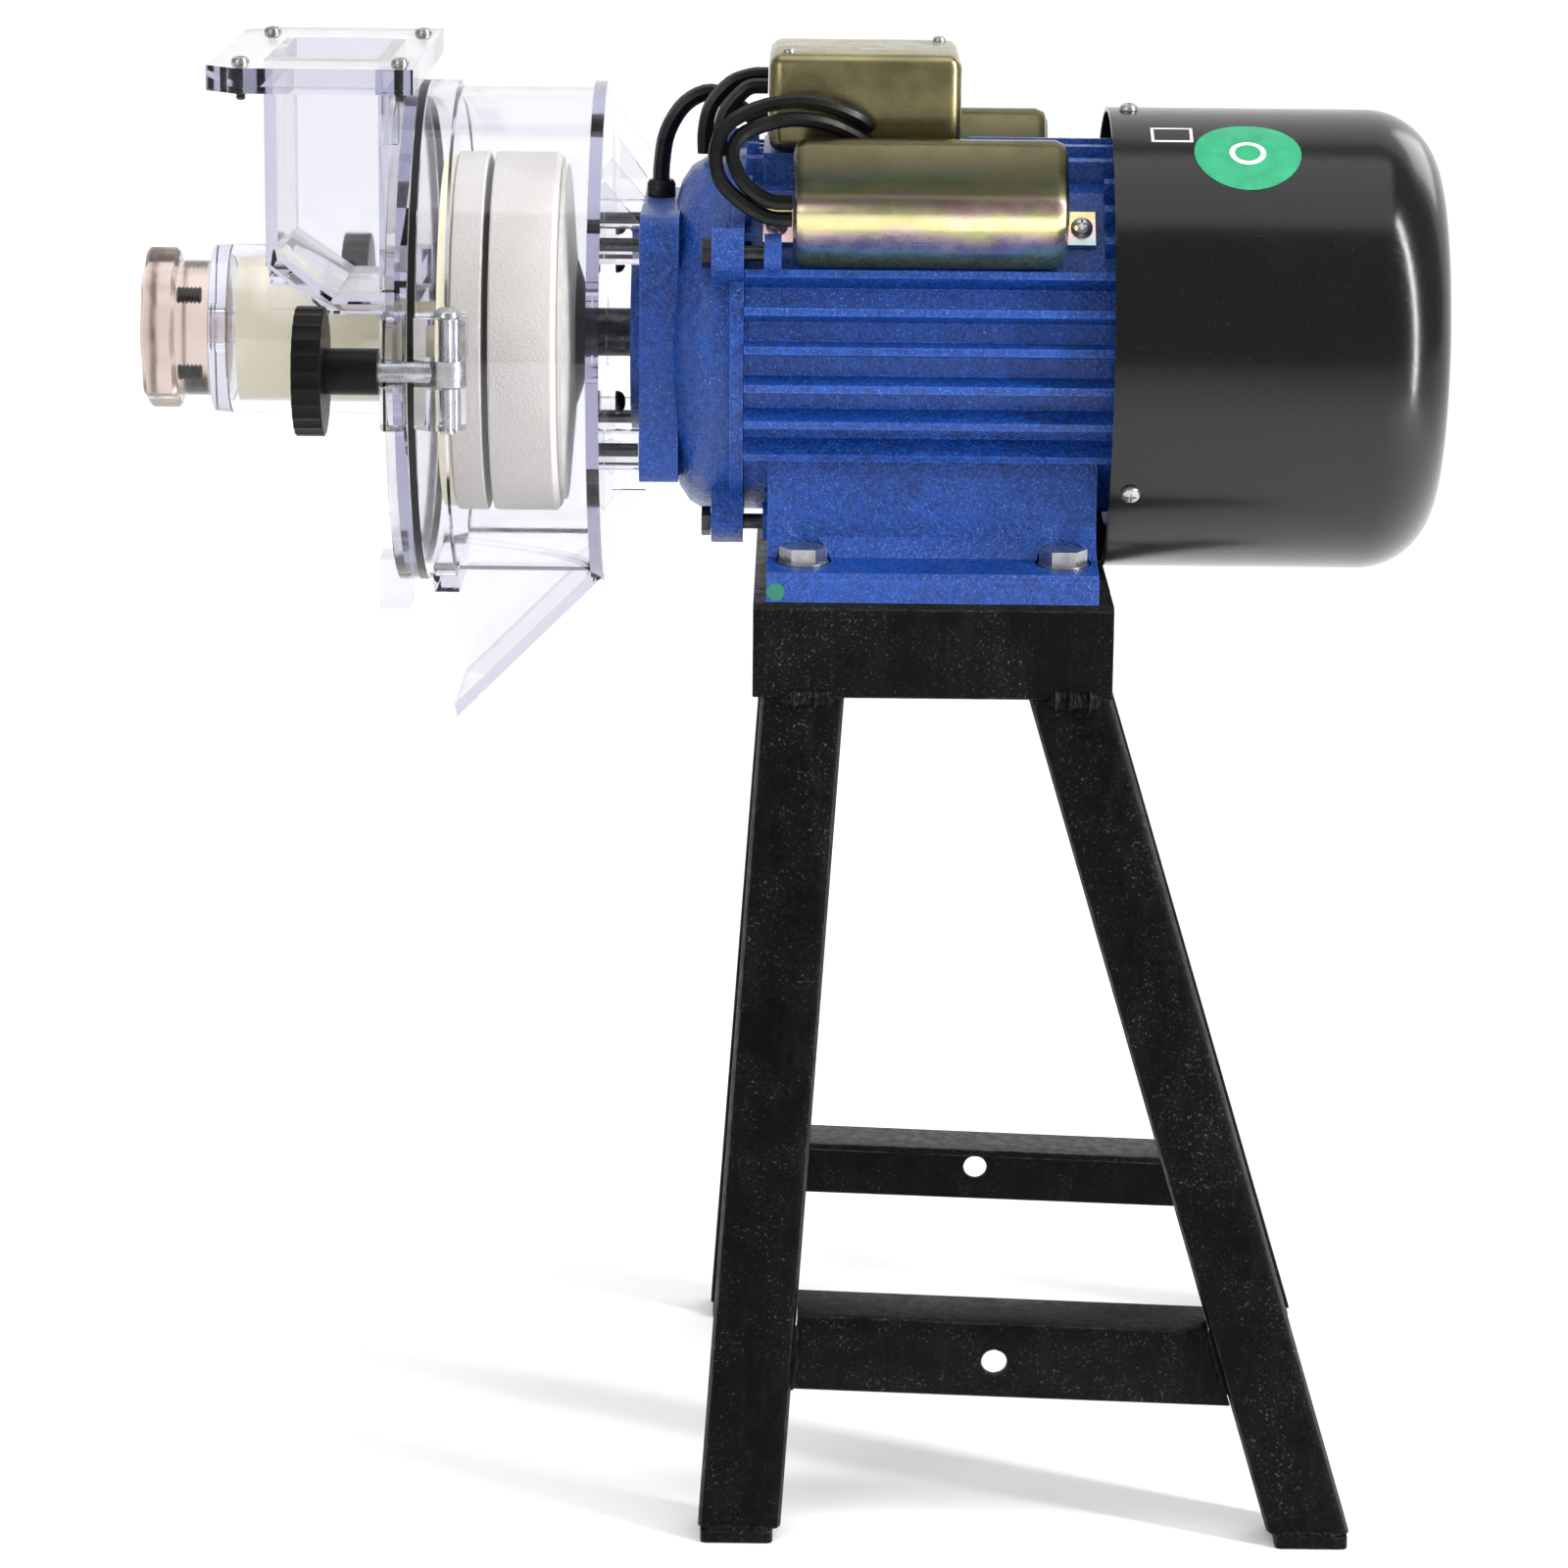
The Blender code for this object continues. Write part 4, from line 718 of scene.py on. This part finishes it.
def pressed_cover():
    """The fan cover with a finely rounded rear corner and its air slots; it stands for the CAD one."""
    x_mid, r_mid = COVER_X[1] - COVER_CORNER, COVER_R - COVER_CORNER
    bend = [math.radians(d) for d in range(0, 91, 6)]
    outer = [(x_mid + COVER_CORNER * math.sin(a), r_mid + COVER_CORNER * math.cos(a)) for a in bend]
    inside = COVER_CORNER - COVER_WALL
    inner = [(x_mid + inside * math.sin(a), r_mid + inside * math.cos(a)) for a in reversed(bend)]
    rim = [(COVER_X[0], COVER_R - COVER_WALL), (COVER_X[0], COVER_R)]
    profile = [(COVER_X[1] - COVER_WALL, COVER_BORE)] + inner + rim + outer + [(COVER_X[1], COVER_BORE)]
    shell, slots = bmesh.new(), bmesh.new()
    turned(shell, (0.0, 0.0, AXIS_Z), ALONG_SHAFT, profile, 96)
    near, far = AIR_SLOT_R
    cut_from, cut_long = COVER_X[1] - 6.0, 9.0
    corners = ((near, -AIR_SLOT_HALF), (far, -AIR_SLOT_HALF), (far, AIR_SLOT_HALF), (near, AIR_SLOT_HALF))
    for i in range(AIR_SLOTS):
        a = math.radians((i + 0.5) * 360.0 / AIR_SLOTS)
        c, s = math.cos(a), math.sin(a)
        outline = [(cut_from, u * c - v * s, AXIS_Z + u * s + v * c) for u, v in corners]
        slab(slots, outline, (cut_long, 0.0, 0.0))
    made = []
    for name, bm in (("shell", shell), ("slots", slots)):
        bmesh.ops.recalc_face_normals(bm, faces=bm.faces)
        made.append(mesh_object(name, bm))
    step = made[0].modifiers.new("slots", "BOOLEAN")
    step.operation, step.solver, step.object = "DIFFERENCE", "EXACT", made[1]
    bm = bmesh.new()
    bm.from_object(made[0], bpy.context.evaluated_depsgraph_get())
    for obj in made:
        bpy.data.objects.remove(obj)
    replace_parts(piece("pressed_fan_cover", bm, "gloss_black_paint", "base"), "fan_cover")


def head_details():
    """Clear gussets and dark dome nuts behind the drum, and small clear catches under the inlet flange."""
    gusset = [(GUSSET_X[0], GUSSET_HIGH[0]), (GUSSET_X[0], GUSSET_FOOT), (GUSSET_X[1], GUSSET_FOOT),
              (GUSSET_X[1], GUSSET_HIGH[1])]
    for label, side in SIDES:
        for end, way in (("upper", 1.0), ("lower", -1.0)):
            bm = bmesh.new()
            slab(bm, [(x, side * GUSSET_Y, AXIS_Z + way * high) for x, high in gusset],
                 (0.0, side * GUSSET_THICK, 0.0))
            piece(f"drum_gusset_{end}_{label}", bm, "clear_plastic", "base")
    dome = [(0.0, 4.6), (1.2, 4.6), (2.6, 3.9), (3.5, 2.6), (3.9, 1.0)]
    for label, way in (("drum", 1.0), ("motor", -1.0)):
        for end, up in (("upper", DOME_NUT_APART), ("lower", -DOME_NUT_APART)):
            bm = bmesh.new()
            turned(bm, (DOME_NUT_X[label], 0.0, AXIS_Z + up), (way, 0, 0), dome, 20)
            piece(f"dome_nut_{label}_{end}", bm, "dark_steel", "base")
    inner, outer = CATCH_Y
    catch = ((outer, CATCH_LOW), (inner, CATCH_LOW), (inner, FLANGE_LOW), (outer, FLANGE_LOW))
    for label, side in SIDES:
        bm = bmesh.new()
        slab(bm, [(CATCH_X, side * y, z) for y, z in catch], (6.0, 0.0, 0.0))
        piece(f"flange_catch_{label}", bm, "clear_plastic", "cover")


# --------------------------------------------------------------------- studio

WORLD_LIGHT, WORLD_GLOSS = 0.98, 0.34       # reflections see a dimmer world, so that black stays dark
LAMPS = [                                   # name, place, what it points at, size in metres, watts
    ("overhead", (0.0, -0.1, 2.0), (0.0, 0.0, 0.35), (1.6, 1.3), 8.0),
    ("front_left", (-1.3, -1.9, 1.3), (0.0, 0.0, 0.35), (1.0, 1.2), 8.0),
    ("right_strip", (1.15, -0.62, 0.92), (0.20, 0.0, 0.50), (0.10, 1.9), 24.0),
    ("back_right", (1.2, 1.3, 1.3), (0.1, 0.0, 0.4), (0.8, 0.8), 5.0),
]
FLOOR_FRONT, FLOOR_BACK, FLOOR_HALF_WIDE = -4.0, 1.6, 5.0
SWEEP_R, SWEEP_TOP = 1.2, 5.0
CAMERA_AT = (0.00635, -2.07632, 0.75803)
CAMERA_YAW, CAMERA_PITCH, CAMERA_ROLL = -0.00345, 0.23202, 0.00969     # radians; pitch is downwards
CAMERA_LENS, CAMERA_SENSOR = 121.74, 36.0


def world():
    """White all round, dimmer for glossy rays."""
    made = bpy.data.worlds.new("studio")
    bpy.context.scene.world = made
    made.use_nodes = True
    nodes, links = made.node_tree.nodes, made.node_tree.links
    bright, dim = nodes["Background"], nodes.new("ShaderNodeBackground")
    path, mix = nodes.new("ShaderNodeLightPath"), nodes.new("ShaderNodeMixShader")
    for background, strength in ((bright, WORLD_LIGHT), (dim, WORLD_GLOSS)):
        background.inputs["Color"].default_value = (1.0, 1.0, 1.0, 1.0)
        background.inputs["Strength"].default_value = strength
    links.new(path.outputs["Is Glossy Ray"], mix.inputs[0])
    links.new(bright.outputs[0], mix.inputs[1])
    links.new(dim.outputs[0], mix.inputs[2])
    links.new(mix.outputs[0], nodes["World Output"].inputs["Surface"])


def sweep():
    """White paper floor that curves up behind the object."""
    bm = bmesh.new()
    profile = [(FLOOR_FRONT, 0.0), (FLOOR_BACK, 0.0)]
    for a in (math.radians(d) for d in range(10, 91, 10)):
        profile.append((FLOOR_BACK + SWEEP_R * math.sin(a), SWEEP_R - SWEEP_R * math.cos(a)))
    profile.append((FLOOR_BACK + SWEEP_R, SWEEP_TOP))
    rows = [[bm.verts.new((x, y, z)) for y, z in profile] for x in (-FLOOR_HALF_WIDE, FLOOR_HALF_WIDE)]
    for i in range(len(profile) - 1):
        bm.faces.new((rows[0][i], rows[1][i], rows[1][i + 1], rows[0][i + 1]))
    floor = mesh_object("sweep", bm)
    floor.data.shade_smooth()
    t = Tree("sweep")
    white = t.ramp(t.noise(1.5, 3.0, 0.5), (0.3, (0.93, 0.93, 0.935)), (0.7, (0.95, 0.95, 0.95)))
    t.set(Base_Color=white, Roughness=0.9)
    floor.data.materials.append(t.material)


def lamps():
    """Area lamps; the strip draws the highlight on the fan cover."""
    for name, place, aim, (wide, long), power in LAMPS:
        lamp = bpy.data.lights.new(name, "AREA")
        lamp.shape, lamp.size, lamp.size_y, lamp.energy = "RECTANGLE", wide, long, power
        obj = bpy.data.objects.new(name, lamp)
        bpy.context.scene.collection.objects.link(obj)
        obj.location = place
        obj.rotation_euler = (Vector(aim) - Vector(place)).to_track_quat("-Z", "Y").to_euler()


def camera():
    """The photo's view."""
    data = bpy.data.cameras.new("camera")
    data.lens, data.sensor_width = CAMERA_LENS, CAMERA_SENSOR
    data.clip_start, data.clip_end = 0.05, 50.0
    cam = bpy.data.objects.new("camera", data)
    bpy.context.scene.collection.objects.link(cam)
    yaw, pitch, roll = CAMERA_YAW, CAMERA_PITCH, CAMERA_ROLL
    right = Vector((math.cos(yaw), -math.sin(yaw), 0.0))
    level = Vector((math.sin(yaw), math.cos(yaw), 0.0))
    ahead = level * math.cos(pitch) - Vector(UP) * math.sin(pitch)
    up = right.cross(ahead)
    across = right * math.cos(roll) + up * math.sin(roll)
    up = up * math.cos(roll) - right * math.sin(roll)
    cam.matrix_world = Matrix.Translation(CAMERA_AT) @ Matrix((across, up, -ahead)).transposed().to_4x4()
    bpy.context.scene.camera = cam


finish_nodes()
pressed_cover()
head_details()
welds()
labels()
sheet_screws()
inlet_screws()
head_screws()
camera()
world()
sweep()
lamps()
bpy.context.scene.view_settings.view_transform = "Standard"
